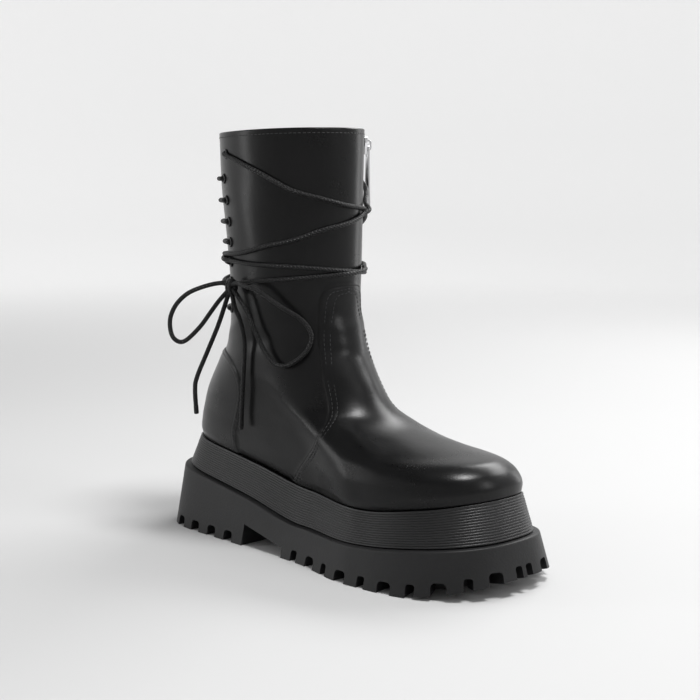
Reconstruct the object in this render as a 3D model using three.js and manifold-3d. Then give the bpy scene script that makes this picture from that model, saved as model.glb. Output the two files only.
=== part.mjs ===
// A right platform boot: lugged outsole, ribbed wedge midsole, tall leather shaft with an inner side zip,
// and a lace that crosses the back in bars, winds twice round the shaft and is tied in a bow.
// Millimetres. +X points to the toe, +Y to the wearer's inner side, +Z up, the floor is z = 0.
import * as THREE from "three";
import { mergeVertices } from "three/addons/utils/BufferGeometryUtils.js";
import Module from "manifold-3d";

const wasm = await Module();
wasm.setup();

// Driving dimensions
const SOLE_LENGTH = 290;
const BALL_WIDTH = 112;
const HEEL_STACK = 62.4;
const OUTSOLE_HEEL = 43.1;
const COLLAR_HEIGHT = 272;
const SHAFT_HALF_WIDTH_OUTER = 41.5;
const SHAFT_HALF_WIDTH_INNER = 40;
const WALL = 2;
const OVERLAY = 1;
const GAP = 0.3;
const TOE_SPRING = 10;
const TOE_SPRING_START = 0.78;
const TOE_TURN = 6.2;
const LEDGE_INSET = 5.7;
const MIDSOLE_BASE_INSET = 9;
const MIDSOLE_TOP_INSET = 15.2;
const UPPER_INSET = 17.2;
const RIB_COUNT = 9;
const RIB_DEPTH = 0.5;
const INSOLE_THICKNESS = 3.5;
const LUG_PITCH_HEEL = 18;
const LUG_PITCH_FORE = 17.6;
const NOTCH_HEIGHT = 7;
const NOTCH_DEPTH = 20;
const NOTCH_NARROW = 5.6;
const NOTCH_WIDE = 9.4;
const HEEL_NOTCH_WIDTH = 8.4;
const LACE_DIAMETER = 3;
const EYELET_RADIUS = 3.4;
const EYELET_HOLE_RADIUS = 1.9;
const EYELET_HEIGHT = 1.1;
const ZIP_WIDTH = 5.6;
const ZIP_THICKNESS = 1.2;
const SLIDER_WIDTH = 8.6;
const SLIDER_LENGTH = 12;
const SLIDER_THICKNESS = 2;
const PULL_LENGTH = 41;
const PULL_WIDTH_TOP = 5.6;
const PULL_WIDTH_TIP = 8.2;
const PULL_THICKNESS = 1.3;

// How finely the forms are stepped
const RING_STEPS = 40;
const UPPER_ROWS = 16;
const LACE_SIDES = 8;
const LACE_STEP = 4.5 * LACE_DIAMETER;

// The sole's half widths as shares of the ball width, and its heights as shares of the heel's heights,
// at stations along the length. outer is the wearer's outer side.
const SOLE_STATIONS = [
  { along: 0, outer: 0.365, inner: 0.365, ledge: 1, feather: 1 },
  { along: 0.12, outer: 0.38, inner: 0.375, ledge: 0.9, feather: 0.94 },
  { along: 0.3, outer: 0.4, inner: 0.365, ledge: 0.724, feather: 0.833 },
  { along: 0.5, outer: 0.423, inner: 0.375, ledge: 0.494, feather: 0.699 },
  { along: 0.7, outer: 0.53, inner: 0.475, ledge: 0.519, feather: 0.678 },
  { along: 0.88, outer: 0.53, inner: 0.51, ledge: 0.625, feather: 0.775 },
  { along: 1, outer: 0.53, inner: 0.51, ledge: 0.709, feather: 0.868 },
];
// How a loop's ends are rounded: the share of the length that the heel's round takes, where the toe's
// round starts, and how square each round is.
const SOLE_ROUND = { heelEnd: 0.16, heelPower: 2.98, toeStart: 0.74, toePower: 2.43 };

// The last's form as loops from the feather line to the collar. front and back are shares of half the
// upper's length, frontUp and backUp shares of the rise to the collar, heel and ball scale the widths.
const LAST_LOOPS = [
  {
    rise: 0, front: 1, frontUp: 0, back: -1, backUp: 0, heel: 1, ball: 1,
    heelEnd: 0.16, heelPower: 2.9, toeStart: 0.74, toePower: 2.45,
  },
  {
    rise: 0.07, front: 1.003, frontUp: 0.026, back: -1.014, backUp: 0.031, heel: 1.05, ball: 1.07,
    heelEnd: 0.17, heelPower: 2.7, toeStart: 0.74, toePower: 2.4,
  },
  {
    rise: 0.14, front: 0.977, frontUp: 0.058, back: -1.01, backUp: 0.07, heel: 1.07, ball: 1.08,
    heelEnd: 0.2, heelPower: 2.5, toeStart: 0.73, toePower: 2.3,
  },
  {
    rise: 0.21, front: 0.905, frontUp: 0.083, back: -0.993, backUp: 0.113, heel: 1.06, ball: 1.03,
    heelEnd: 0.24, heelPower: 2.4, toeStart: 0.7, toePower: 2.15,
  },
  {
    rise: 0.29, front: 0.747, frontUp: 0.093, back: -0.963, backUp: 0.16, heel: 1.04, ball: 0.94,
    heelEnd: 0.28, heelPower: 2.3, toeStart: 0.66, toePower: 2,
  },
  {
    rise: 0.37, front: 0.518, frontUp: 0.117, back: -0.918, backUp: 0.213, heel: 1.01, ball: 0.86,
    heelEnd: 0.34, heelPower: 2.2, toeStart: 0.6, toePower: 2,
  },
  {
    rise: 0.45, front: 0.292, frontUp: 0.158, back: -0.86, backUp: 0.27, heel: 0.98, ball: 0.84,
    heelEnd: 0.4, heelPower: 2.1, toeStart: 0.55, toePower: 2,
  },
  {
    rise: 0.53, front: 0.148, frontUp: 0.247, back: -0.8, backUp: 0.332, heel: 0.95, ball: 0.86,
    heelEnd: 0.45, heelPower: 2, toeStart: 0.52, toePower: 2,
  },
  {
    rise: 0.61, front: 0.051, frontUp: 0.359, back: -0.768, backUp: 0.404, heel: 0.92, ball: 0.88,
    heelEnd: 0.49, heelPower: 2, toeStart: 0.5, toePower: 2,
  },
  {
    rise: 0.7, front: 0.001, frontUp: 0.488, back: -0.757, backUp: 0.499, heel: 0.925, ball: 0.92,
    heelEnd: 0.5, heelPower: 2, toeStart: 0.5, toePower: 2,
  },
  {
    rise: 0.8, front: 0.006, frontUp: 0.653, back: -0.779, backUp: 0.652, heel: 0.955, ball: 0.97,
    heelEnd: 0.5, heelPower: 2, toeStart: 0.5, toePower: 2,
  },
  {
    rise: 0.9, front: 0.012, frontUp: 0.826, back: -0.812, backUp: 0.823, heel: 0.99, ball: 1,
    heelEnd: 0.5, heelPower: 2, toeStart: 0.5, toePower: 2,
  },
  {
    rise: 1, front: 0.017, frontUp: 1, back: -0.822, backUp: 1, heel: 1.02, ball: 1.03,
    heelEnd: 0.5, heelPower: 2, toeStart: 0.5, toePower: 2,
  },
];

// Panel edges seen from the side: along is a share of half the upper's length, up of the collar height.
const VAMP_EDGE = [
  { along: 0.06, up: 0.633 },
  { along: -0.012, up: 0.629 },
  { along: -0.042, up: 0.608 },
  { along: -0.046, up: 0.555 },
  { along: -0.025, up: 0.488 },
  { along: 0.018, up: 0.42 },
  { along: 0.075, up: 0.36 },
  { along: 0.112, up: 0.318 },
  { along: 0.085, up: 0.28 },
  { along: 0, up: 0.238 },
  { along: -0.08, up: 0.2 },
  { along: -0.2, up: 0.14 },
];
const COUNTER_EDGE = [
  { along: -1.1, up: 0.462 },
  { along: -0.7, up: 0.455 },
  { along: -0.55, up: 0.43 },
  { along: -0.49, up: 0.39 },
  { along: -0.488, up: 0.35 },
  { along: -0.53, up: 0.3 },
  { along: -0.575, up: 0.25 },
  { along: -0.59, up: 0.16 },
];

// The eyelets of one column, from the top: turn in degrees round the shaft from its back, and height.
const EYELET_ROWS = [
  { turn: 66, up: 0.94 },
  { turn: 60, up: 0.882 },
  { turn: 60, up: 0.828 },
  { turn: 59, up: 0.778 },
  { turn: 57, up: 0.729 },
  { turn: 54, up: 0.681 },
  { turn: 51, up: 0.633 },
  { turn: 50, up: 0.568 },
];

// The two strands that wind round the shaft, by turn and height. The second mirrors the first.
const WRAP_STATIONS = [
  { turn: 70, up: 0.94 },
  { turn: 88, up: 0.922 },
  { turn: 109, up: 0.897 },
  { turn: 131, up: 0.863 },
  { turn: 154, up: 0.838 },
  { turn: 180, up: 0.813 },
  { turn: 206, up: 0.79 },
  { turn: 230, up: 0.751 },
  { turn: 262, up: 0.722 },
  { turn: 290, up: 0.704 },
  { turn: 330, up: 0.696 },
  { turn: 360, up: 0.694 },
  { turn: 400, up: 0.69 },
  { turn: 449, up: 0.683 },
  { turn: 490, up: 0.679 },
  { turn: 540, up: 0.667 },
  { turn: 590, up: 0.656 },
  { turn: 632, up: 0.64 },
];
const WRAP_TAIL = [
  { turn: 660, up: 0.633 },
  { turn: 700, up: 0.632 },
  { turn: 740, up: 0.63 },
  { turn: 766, up: 0.628 },
];
const WRAP_TAIL_MIRRORED = [{ turn: 640, up: 0.637 }];

// The bow's cords, points chosen by hand along each cord's middle
const LOOP_BACK = [
  [-71.5, -42.5, 172.6], [-79.1, -49.3, 170.3], [-87.7, -57, 165.7], [-93.5, -62.1, 158.9],
  [-96.7, -64.9, 151], [-97.3, -65.5, 143.5], [-95.9, -64.3, 136.4], [-92.4, -61.2, 133.2],
  [-88.4, -57.8, 135.3], [-82.3, -52.2, 143.5], [-77.3, -47.7, 152.6], [-74.2, -45, 158.5],
];
const END_BACK = [
  [-67.2, -41, 163], [-69.6, -42.8, 155], [-73.2, -45, 143.5], [-78.9, -49.2, 127],
  [-84.1, -53.8, 110.5], [-85.3, -54.9, 101.9], [-84.8, -54.4, 85.3],
];
const LOOP_FRONT = [
  [-53.5, -43.8, 173], [-45, -45.6, 171.8], [-35, -44, 169.5], [-20.1, -37, 159.6], [-11.1, -29.5, 152.5],
  [-6.3, -26, 145.9], [-4.6, -25.6, 139.6], [-6.1, -28.2, 132.2], [-11.2, -32.4, 125.7],
  [-18.5, -35.9, 122], [-26.3, -37.6, 122.9], [-33.9, -38.8, 129.8], [-41.8, -40, 142.7],
  [-48.8, -41.8, 156.5], [-53.8, -43.6, 164.5],
];
const END_FRONT = [
  [-62.8, -40.8, 163], [-59.4, -41.4, 156], [-55.6, -40.6, 148.4], [-53.2, -39.4, 134.4], [-54.4, -39.2, 116],
  [-57, -38.4, 96.5], [-60.5, -36.6, 75.9],
];
const KNOT_CENTRE = new THREE.Vector3(-65.3, -39.8, 170.4);
const KNOT_HALF_SIZE = new THREE.Vector3(7.2, 5, 6.8);

// The zip's middle line on the inner side: up as a share of the collar height, along of half the length
const ZIP_LINE = [
  { up: 0.985, along: -0.166 },
  { up: 0.85, along: -0.172 },
  { up: 0.69, along: -0.184 },
  { up: 0.55, along: -0.203 },
  { up: 0.43, along: -0.2 },
  { up: 0.325, along: -0.195 },
];

const UPPER_HALF_LENGTH = SOLE_LENGTH / 2 - UPPER_INSET;
const SHAFT_SHIFT = 2;
const LEATHER = { color: 0x111113, roughness: 0.32, metalness: 0 };
const MIDSOLE_RUBBER = { color: 0x2b2b2d, roughness: 0.62, metalness: 0 };
const OUTSOLE_RUBBER = { color: 0x303032, roughness: 0.72, metalness: 0 };
const LACE_CORD = { color: 0x0e0e0f, roughness: 0.8, metalness: 0 };
const EYELET_METAL = { color: 0x0b0b0c, roughness: 0.35, metalness: 0.8 };
const SILVER = { color: 0xc8c9cb, roughness: 0.25, metalness: 1 };
const LINING = { color: 0x1c1b1a, roughness: 0.85, metalness: 0 };

// Interpolation and solids

// A smooth curve through (xs, ys) that never overshoots between two rows.
function monotone(xs, ys) {
  const last = xs.length - 1;
  const step = xs.slice(1).map((x, i) => x - xs[i]);
  const rise = step.map((h, i) => (ys[i + 1] - ys[i]) / h);
  const slope = xs.map((_, i) => {
    if (i === 0) return rise[0];
    if (i === last) return rise[last - 1];
    if (rise[i - 1] * rise[i] <= 0) return 0;
    const near = 2 * step[i] + step[i - 1];
    const far = step[i] + 2 * step[i - 1];
    return (near + far) / (near / rise[i - 1] + far / rise[i]);
  });
  return (x) => {
    const at = THREE.MathUtils.clamp(x, xs[0], xs[last]);
    let i = 0;
    while (i < last - 1 && at > xs[i + 1]) i += 1;
    const t = (at - xs[i]) / step[i];
    const t2 = t * t;
    const t3 = t2 * t;
    return (
      (2 * t3 - 3 * t2 + 1) * ys[i] +
      (t3 - 2 * t2 + t) * step[i] * slope[i] +
      (3 * t2 - 2 * t3) * ys[i + 1] +
      (t3 - t2) * step[i] * slope[i + 1]
    );
  };
}

// One curve for each named column of a table.
function columns(rows, key) {
  const xs = rows.map((row) => row[key]);
  const names = Object.keys(rows[0]).filter((name) => name !== key);
  return Object.fromEntries(names.map((name) => [name, monotone(xs, rows.map((row) => row[name]))]));
}

const sole = columns(SOLE_STATIONS, "along");
const last = columns(LAST_LOOPS, "rise");

function smooth(value, from, to) {
  return THREE.MathUtils.smoothstep(value, from, to);
}

// How wide a loop is at a share of its length, from 0 at its ends to 1.
function roundShare(along, { heelEnd, heelPower, toeStart, toePower }) {
  if (along < heelEnd) {
    return Math.max(0, 1 - ((heelEnd - along) / heelEnd) ** heelPower) ** (1 / heelPower);
  }
  if (along > toeStart) {
    return Math.max(0, 1 - ((along - toeStart) / (1 - toeStart)) ** toePower) ** (1 / toePower);
  }
  return 1;
}

// Where a turn lies: its share of the length and its side, -1 on the outer side and 1 on the inner.
function stationAt(turn) {
  const wrapped = THREE.MathUtils.euclideanModulo(turn, 2 * Math.PI);
  return { along: (1 - Math.cos(wrapped)) / 2, side: wrapped <= Math.PI ? -1 : 1 };
}

function middleLine(along) {
  return TOE_TURN * THREE.MathUtils.clamp((along - 0.45) / 0.55, 0, 1) ** 2;
}

function soleHalfWidth(along, side) {
  return BALL_WIDTH * (side < 0 ? sole.outer(along) : sole.inner(along));
}

const floorHeight = (along) =>
  TOE_SPRING * THREE.MathUtils.clamp((along - TOE_SPRING_START) / (1 - TOE_SPRING_START), 0, 1) ** 2;
const ledgeHeight = (along) => OUTSOLE_HEEL * sole.ledge(along);
const featherHeight = (along) => HEEL_STACK * sole.feather(along);

function solePoint(turn, inset, height) {
  const { along, side } = stationAt(turn);
  const width = (soleHalfWidth(along, side) - inset) * roundShare(along, SOLE_ROUND);
  const x = -SOLE_LENGTH / 2 + inset + along * (SOLE_LENGTH - 2 * inset);
  return new THREE.Vector3(x, middleLine(along) + side * width, height(along));
}

const turns = Array.from({ length: RING_STEPS }, (_, i) => (i * 2 * Math.PI) / RING_STEPS);
const soleLoop = (inset, height) => turns.map((turn) => solePoint(turn, inset, height));

function geometryFrom(points, triangles) {
  const geometry = new THREE.BufferGeometry();
  geometry.setAttribute("position", new THREE.Float32BufferAttribute(points.flatMap((p) => [p.x, p.y, p.z]), 3));
  geometry.setIndex(triangles.flat());
  return geometry;
}

function solidFrom(geometry) {
  const bare = geometry.clone();
  bare.deleteAttribute("normal");
  bare.deleteAttribute("uv");
  const merged = mergeVertices(bare, 1e-4);
  return new wasm.Manifold(
    new wasm.Mesh({
      numProp: 3,
      vertProperties: new Float32Array(merged.attributes.position.array),
      triVerts: new Uint32Array(merged.index.array),
    }),
  );
}

function geometryOf(solid) {
  const mesh = solid.getMesh();
  const geometry = new THREE.BufferGeometry();
  geometry.setAttribute("position", new THREE.BufferAttribute(mesh.vertProperties, 3));
  geometry.setIndex(new THREE.BufferAttribute(mesh.triVerts, 1));
  geometry.computeVertexNormals();
  return geometry;
}

// The side faces between neighbouring loops, stacked upwards.
function wallTriangles(loopCount, n, start = 0) {
  const triangles = [];
  for (let k = 0; k < loopCount - 1; k += 1) {
    for (let i = 0; i < n; i += 1) {
      const a = start + k * n + i;
      const b = start + k * n + ((i + 1) % n);
      triangles.push([a, b, b + n], [a, b + n, a + n]);
    }
  }
  return triangles;
}

// A lid across a loop, in strips between the two points that share a station.
function lidTriangles(n, start, up) {
  const triangles = [];
  const half = n / 2;
  for (let i = 0; i < half; i += 1) {
    const a = start + i;
    const b = start + i + 1;
    const c = start + ((n - i - 1) % n);
    const d = start + ((n - i) % n);
    if (b !== c) triangles.push([a, b, c]);
    if (a !== d) triangles.push([a, c, d]);
  }
  return up ? triangles : triangles.map(([a, b, c]) => [a, c, b]);
}

// A closed solid through loops from the lowest to the highest.
function loftSolid(loops) {
  const n = loops[0].length;
  const triangles = [
    ...wallTriangles(loops.length, n),
    ...lidTriangles(n, 0, false),
    ...lidTriangles(n, (loops.length - 1) * n, true),
  ];
  return solidFrom(geometryFrom(loops.flat(), triangles));
}

// A closed wall between two stacks of loops, open at its top and bottom.
function shellSolid(outer, inner) {
  const n = outer[0].length;
  const count = outer.length;
  const start = count * n;
  const triangles = wallTriangles(count, n);
  wallTriangles(count, n, start).forEach(([a, b, c]) => triangles.push([a, c, b]));
  for (let i = 0; i < n; i += 1) {
    const j = (i + 1) % n;
    const top = (count - 1) * n;
    triangles.push([j, i, start + i], [j, start + i, start + j]);
    triangles.push([top + i, top + j, start + top + j], [top + i, start + top + j, start + top + i]);
  }
  return solidFrom(geometryFrom([...outer.flat(), ...inner.flat()], triangles));
}

// The upper's own surface

function skinPoint(turn, rise) {
  const { along, side } = stationAt(turn);
  const toShaft = smooth(rise, 0, 0.62);
  const soleWidth = soleHalfWidth(along, side) - UPPER_INSET;
  const shaftWidth = side < 0 ? SHAFT_HALF_WIDTH_OUTER : SHAFT_HALF_WIDTH_INNER;
  const spread = last.heel(rise) * (1 - along) + last.ball(rise) * along;
  const round = roundShare(along, {
    heelEnd: last.heelEnd(rise),
    heelPower: last.heelPower(rise),
    toeStart: last.toeStart(rise),
    toePower: last.toePower(rise),
  });
  const width = THREE.MathUtils.lerp(soleWidth, shaftWidth, toShaft) * spread * round;
  const heelBed = featherHeight(0) + GAP;
  const toeBed = featherHeight(1) + GAP;
  const backZ = heelBed + last.backUp(rise) * (COLLAR_HEIGHT - heelBed);
  const frontZ = toeBed + last.frontUp(rise) * (COLLAR_HEIGHT - toeBed);
  const sag = featherHeight(along) + GAP - THREE.MathUtils.lerp(heelBed, toeBed, along);
  return new THREE.Vector3(
    UPPER_HALF_LENGTH * THREE.MathUtils.lerp(last.back(rise), last.front(rise), along),
    THREE.MathUtils.lerp(middleLine(along), SHAFT_SHIFT, toShaft) + side * width,
    THREE.MathUtils.lerp(backZ, frontZ, along) + sag * (1 - smooth(rise, 0, 0.5)),
  );
}

// The outward direction there, level at the two rims so that they stay flat.
function skinNormal(turn, rise) {
  const dTurn = 0.02;
  const dRise = 0.004;
  const low = Math.max(0, rise - dRise);
  const high = Math.min(1, rise + dRise);
  const round = skinPoint(turn + dTurn, rise).sub(skinPoint(turn - dTurn, rise));
  const up = skinPoint(turn, high).sub(skinPoint(turn, low));
  const normal = round.cross(up);
  if (low === 0 || high === 1) normal.z = 0;
  return normal.normalize();
}

function skinOffset(turn, rise, lift) {
  return skinPoint(turn, rise).addScaledVector(skinNormal(turn, rise), lift);
}

// The rise at which the surface reaches a height, on one turn.
function riseAtHeight(turn, height) {
  let low = 0;
  let high = 1;
  for (let i = 0; i < 30; i += 1) {
    const middle = (low + high) / 2;
    if (skinPoint(turn, middle).z < height) low = middle;
    else high = middle;
  }
  return (low + high) / 2;
}

const rises = Array.from({ length: UPPER_ROWS + 1 }, (_, k) => k / UPPER_ROWS);
const skinLoops = (lift) => rises.map((rise) => turns.map((turn) => skinOffset(turn, rise, lift)));

// A panel's outline from the side, pushed through the whole boot.
function sidePrism(edge, closing) {
  const spline = new THREE.SplineCurve(
    edge.map(({ along, up }) => new THREE.Vector2(along * UPPER_HALF_LENGTH, up * COLLAR_HEIGHT)),
  );
  const points = spline.getPoints(edge.length * 2);
  closing.forEach(([x, z]) => points.push(new THREE.Vector2(x, z)));
  const geometry = new THREE.ExtrudeGeometry(new THREE.Shape(points), {
    depth: 2 * BALL_WIDTH,
    bevelEnabled: false,
  });
  geometry.rotateX(Math.PI / 2);
  geometry.translate(0, BALL_WIDTH, 0);
  return solidFrom(geometry);
}

function straightTube(from, to, radius, sides) {
  const geometry = new THREE.CylinderGeometry(radius, radius, from.distanceTo(to), sides);
  const direction = to.clone().sub(from).normalize();
  geometry.applyQuaternion(new THREE.Quaternion().setFromUnitVectors(new THREE.Vector3(0, 1, 0), direction));
  const middle = from.clone().add(to).multiplyScalar(0.5);
  geometry.translate(middle.x, middle.y, middle.z);
  return solidFrom(geometry);
}

function eyeletPlace(row, mirrored) {
  const degrees = mirrored ? 360 - row.turn : row.turn;
  const turn = THREE.MathUtils.degToRad(degrees);
  const rise = riseAtHeight(turn, row.up * COLLAR_HEIGHT);
  return { turn, rise, point: skinPoint(turn, rise), normal: skinNormal(turn, rise) };
}

const eyeletPlaces = [false, true].flatMap((mirrored) =>
  EYELET_ROWS.map((row, i) => ({
    name: `eyelet_${mirrored ? "inner" : "outer"}_${i + 1}`,
    ...eyeletPlace(row, mirrored),
  })),
);

function makeUpper() {
  const far = 2 * SOLE_LENGTH;
  const vampPrism = sidePrism(VAMP_EDGE, [[-0.2 * UPPER_HALF_LENGTH, -far], [far, -far], [far, 0.633 * COLLAR_HEIGHT]]);
  const counterPrism = sidePrism(COUNTER_EDGE, [[-0.59 * UPPER_HALF_LENGTH, -far], [-far, -far], [-far, 0.462 * COLLAR_HEIGHT]]);
  const raised = shellSolid(skinLoops(OVERLAY), skinLoops(-WALL / 2));
  let upper = shellSolid(skinLoops(0), skinLoops(-WALL))
    .add(raised.intersect(vampPrism))
    .add(raised.intersect(counterPrism));
  eyeletPlaces.forEach(({ point, normal }) => {
    const inside = point.clone().addScaledVector(normal, -3 * WALL);
    const outside = point.clone().addScaledVector(normal, 2 * WALL);
    upper = upper.subtract(straightTube(inside, outside, EYELET_HOLE_RADIUS, 8));
  });
  return upper;
}

// Sole

// Where the outline has run a length from the heel's middle, on one side, and its direction.
function outlineAt(length, side) {
  const step = Math.PI / 720;
  let run = 0;
  let turn = 0;
  let here = solePoint(0, 0, () => 0);
  while (run < length && turn < Math.PI) {
    turn += step;
    const next = solePoint(side < 0 ? turn : 2 * Math.PI - turn, 0, () => 0);
    run += next.distanceTo(here);
    here = next;
  }
  const at = side < 0 ? turn : 2 * Math.PI - turn;
  const before = solePoint(at - step, 0, () => 0);
  const after = solePoint(at + step, 0, () => 0);
  const along = after.sub(before).normalize();
  return { point: here, along, outward: new THREE.Vector3(along.y, -along.x, 0), share: stationAt(at).along };
}

function notchSolid({ point, along, outward, share }, width) {
  const shape = new THREE.Shape();
  const half = width / 2;
  const top = NOTCH_HEIGHT;
  const corner = half * 0.5;
  shape.moveTo(-half, -TOE_SPRING);
  shape.lineTo(half, -TOE_SPRING);
  shape.lineTo(half, top - corner);
  shape.quadraticCurveTo(half, top, half - corner, top);
  shape.lineTo(-half + corner, top);
  shape.quadraticCurveTo(-half, top, -half, top - corner);
  const geometry = new THREE.ExtrudeGeometry(shape, {
    depth: 2 * NOTCH_DEPTH,
    bevelEnabled: false,
    curveSegments: 1,
  });
  geometry.translate(0, floorHeight(share), -NOTCH_DEPTH);
  geometry.applyMatrix4(new THREE.Matrix4().makeBasis(along, new THREE.Vector3(0, 0, 1), outward));
  geometry.translate(point.x, point.y, 0);
  return solidFrom(geometry);
}

// The heel's breast and the arch's roof, from the side, as shares of the sole's length and heights.
const ARCH = { breast: -0.182, roofStart: -0.178, roofEnd: -0.045, front: -0.036, high: 14, low: 6 };
const HEEL_NOTCH_START = 15.5;
const HEEL_NOTCH_COUNT = 6;
const FORE_NOTCH_START = 172.4;
const FORE_NOTCH_COUNT = 11;

function archSolid() {
  const shape = new THREE.Shape();
  shape.moveTo(ARCH.breast * SOLE_LENGTH, -TOE_SPRING);
  shape.lineTo(ARCH.front * SOLE_LENGTH, -TOE_SPRING);
  shape.lineTo(ARCH.roofEnd * SOLE_LENGTH, ARCH.low);
  shape.lineTo(ARCH.roofStart * SOLE_LENGTH, ARCH.high);
  const geometry = new THREE.ExtrudeGeometry(shape, { depth: 2 * BALL_WIDTH, bevelEnabled: false });
  geometry.rotateX(Math.PI / 2);
  geometry.translate(0, BALL_WIDTH, 0);
  return solidFrom(geometry);
}

function makeOutsole() {
  const half = (along) => (floorHeight(along) + ledgeHeight(along)) / 2;
  let body = loftSolid([
    soleLoop(0, floorHeight),
    soleLoop(LEDGE_INSET / 2, half),
    soleLoop(LEDGE_INSET, ledgeHeight),
  ]).subtract(archSolid());
  const scale = SOLE_LENGTH / 290;
  [-1, 1].forEach((side) => {
    for (let i = 0; i < HEEL_NOTCH_COUNT; i += 1) {
      const place = outlineAt((HEEL_NOTCH_START + i * LUG_PITCH_HEEL) * scale, side);
      body = body.subtract(notchSolid(place, HEEL_NOTCH_WIDTH));
    }
    for (let i = 0; i < FORE_NOTCH_COUNT; i += 1) {
      const place = outlineAt((FORE_NOTCH_START + i * LUG_PITCH_FORE) * scale, side);
      body = body.subtract(notchSolid(place, i % 2 ? NOTCH_WIDE : NOTCH_NARROW));
    }
  });
  return body;
}

function makeMidsole() {
  const loops = [];
  const rows = 2 * RIB_COUNT;
  for (let k = 0; k <= rows; k += 1) {
    const up = k / rows;
    const groove = k % 2 ? RIB_DEPTH : 0;
    const inset = THREE.MathUtils.lerp(MIDSOLE_BASE_INSET, MIDSOLE_TOP_INSET, up) + groove;
    loops.push(soleLoop(inset, (along) => THREE.MathUtils.lerp(ledgeHeight(along) + GAP, featherHeight(along), up)));
  }
  return loftSolid(loops);
}

function makeInsole() {
  const inset = UPPER_INSET + WALL + 2 * GAP;
  return loftSolid([
    soleLoop(inset, (along) => featherHeight(along) + GAP),
    soleLoop(inset, (along) => featherHeight(along) + GAP + INSOLE_THICKNESS),
  ]);
}

// Lace

function cordGeometry(points, radius, spacing) {
  const curve = new THREE.CatmullRomCurve3(points, false, "centripetal");
  const section = new THREE.Shape(
    Array.from({ length: LACE_SIDES }, (_, i) => {
      const angle = (i * 2 * Math.PI) / LACE_SIDES;
      return new THREE.Vector2(radius * Math.cos(angle), radius * Math.sin(angle));
    }),
  );
  return new THREE.ExtrudeGeometry(section, {
    steps: Math.ceil(curve.getLength() / spacing),
    bevelEnabled: false,
    extrudePath: curve,
  });
}

const cordFromList = (list) => cordGeometry(list.map((p) => new THREE.Vector3(...p)), LACE_DIAMETER / 2, 3 * LACE_DIAMETER);

// How far a strand's middle stands off the leather: clear of the bars at the back and of the zip.
const STRAND_LIFT = LACE_DIAMETER / 2 + 2 * GAP;
const BAR_LIFT = EYELET_HEIGHT + GAP + LACE_DIAMETER / 2 + GAP;
const BACK_LIFT = BAR_LIFT + LACE_DIAMETER + 1.5 * GAP;
const ZIP_LIFT = 1.5 * GAP + ZIP_THICKNESS + 2 * GAP + LACE_DIAMETER / 2;
const ZIP_TURN = 238;

function wrapLift(degrees) {
  const round = THREE.MathUtils.euclideanModulo(degrees, 360);
  const fromBack = Math.min(round, 360 - round);
  const fromZip = Math.abs(round - ZIP_TURN);
  const back = (BACK_LIFT - STRAND_LIFT) * (1 - smooth(fromBack, 74, 92));
  const zip = (ZIP_LIFT - STRAND_LIFT) * (1 - smooth(fromZip, 12, 26));
  return STRAND_LIFT + Math.max(back, zip);
}

function wrapPoints(stations, mirrored) {
  const turnCurve = columns(stations, "turn");
  const first = stations[0].turn;
  const end = stations[stations.length - 1].turn;
  const count = Math.round((end - first) / 12);
  return Array.from({ length: count + 1 }, (_, i) => {
    const degrees = first + ((end - first) * i) / count;
    const placed = mirrored ? -degrees : degrees;
    const turn = THREE.MathUtils.degToRad(placed);
    const rise = riseAtHeight(turn, turnCurve.up(degrees) * COLLAR_HEIGHT);
    return skinOffset(turn, rise, wrapLift(placed));
  });
}

function makeWraps() {
  const strand = wrapPoints([...WRAP_STATIONS, ...WRAP_TAIL], false);
  const mirrored = wrapPoints([...WRAP_STATIONS, ...WRAP_TAIL_MIRRORED], true);
  return [strand, mirrored]
    .map((points) => solidFrom(cordGeometry(points, LACE_DIAMETER / 2, LACE_STEP)))
    .reduce((a, b) => a.add(b));
}

function makeBar(row) {
  const start = row.turn - 1;
  const count = 7;
  const points = Array.from({ length: count + 1 }, (_, i) => {
    const turn = THREE.MathUtils.degToRad(start - (2 * start * i) / count);
    return skinOffset(turn, riseAtHeight(turn, row.up * COLLAR_HEIGHT), BAR_LIFT);
  });
  return cordGeometry(points, LACE_DIAMETER / 2, LACE_STEP);
}

function makeEyelet({ point, normal }) {
  const profile = [
    new THREE.Vector2(EYELET_HOLE_RADIUS, 0),
    new THREE.Vector2(EYELET_RADIUS, 0),
    new THREE.Vector2(EYELET_RADIUS - 0.3, EYELET_HEIGHT * 0.7),
    new THREE.Vector2(EYELET_HOLE_RADIUS + 0.3, EYELET_HEIGHT),
    new THREE.Vector2(EYELET_HOLE_RADIUS, 0),
  ];
  const geometry = new THREE.LatheGeometry(profile, 8);
  geometry.applyQuaternion(new THREE.Quaternion().setFromUnitVectors(new THREE.Vector3(0, 1, 0), normal));
  const seat = point.clone().addScaledVector(normal, GAP);
  geometry.translate(seat.x, seat.y, seat.z);
  return geometry;
}

function makeKnot() {
  const geometry = new THREE.SphereGeometry(1, 12, 8);
  geometry.scale(KNOT_HALF_SIZE.x, KNOT_HALF_SIZE.y, KNOT_HALF_SIZE.z);
  geometry.translate(KNOT_CENTRE.x, KNOT_CENTRE.y, KNOT_CENTRE.z);
  return geometry;
}

// Zip

const zipLine = columns([...ZIP_LINE].reverse(), "up");

// The turn on the inner side at which the surface has an x, at one rise's height.
function zipPlace(up) {
  const height = up * COLLAR_HEIGHT;
  const wanted = zipLine.along(up) * UPPER_HALF_LENGTH;
  let low = Math.PI;
  let high = 2 * Math.PI;
  for (let i = 0; i < 30; i += 1) {
    const middle = (low + high) / 2;
    if (skinPoint(middle, riseAtHeight(middle, height)).x > wanted) low = middle;
    else high = middle;
  }
  const turn = (low + high) / 2;
  const rise = riseAtHeight(turn, height);
  return { point: skinPoint(turn, rise), normal: skinNormal(turn, rise) };
}

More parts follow.
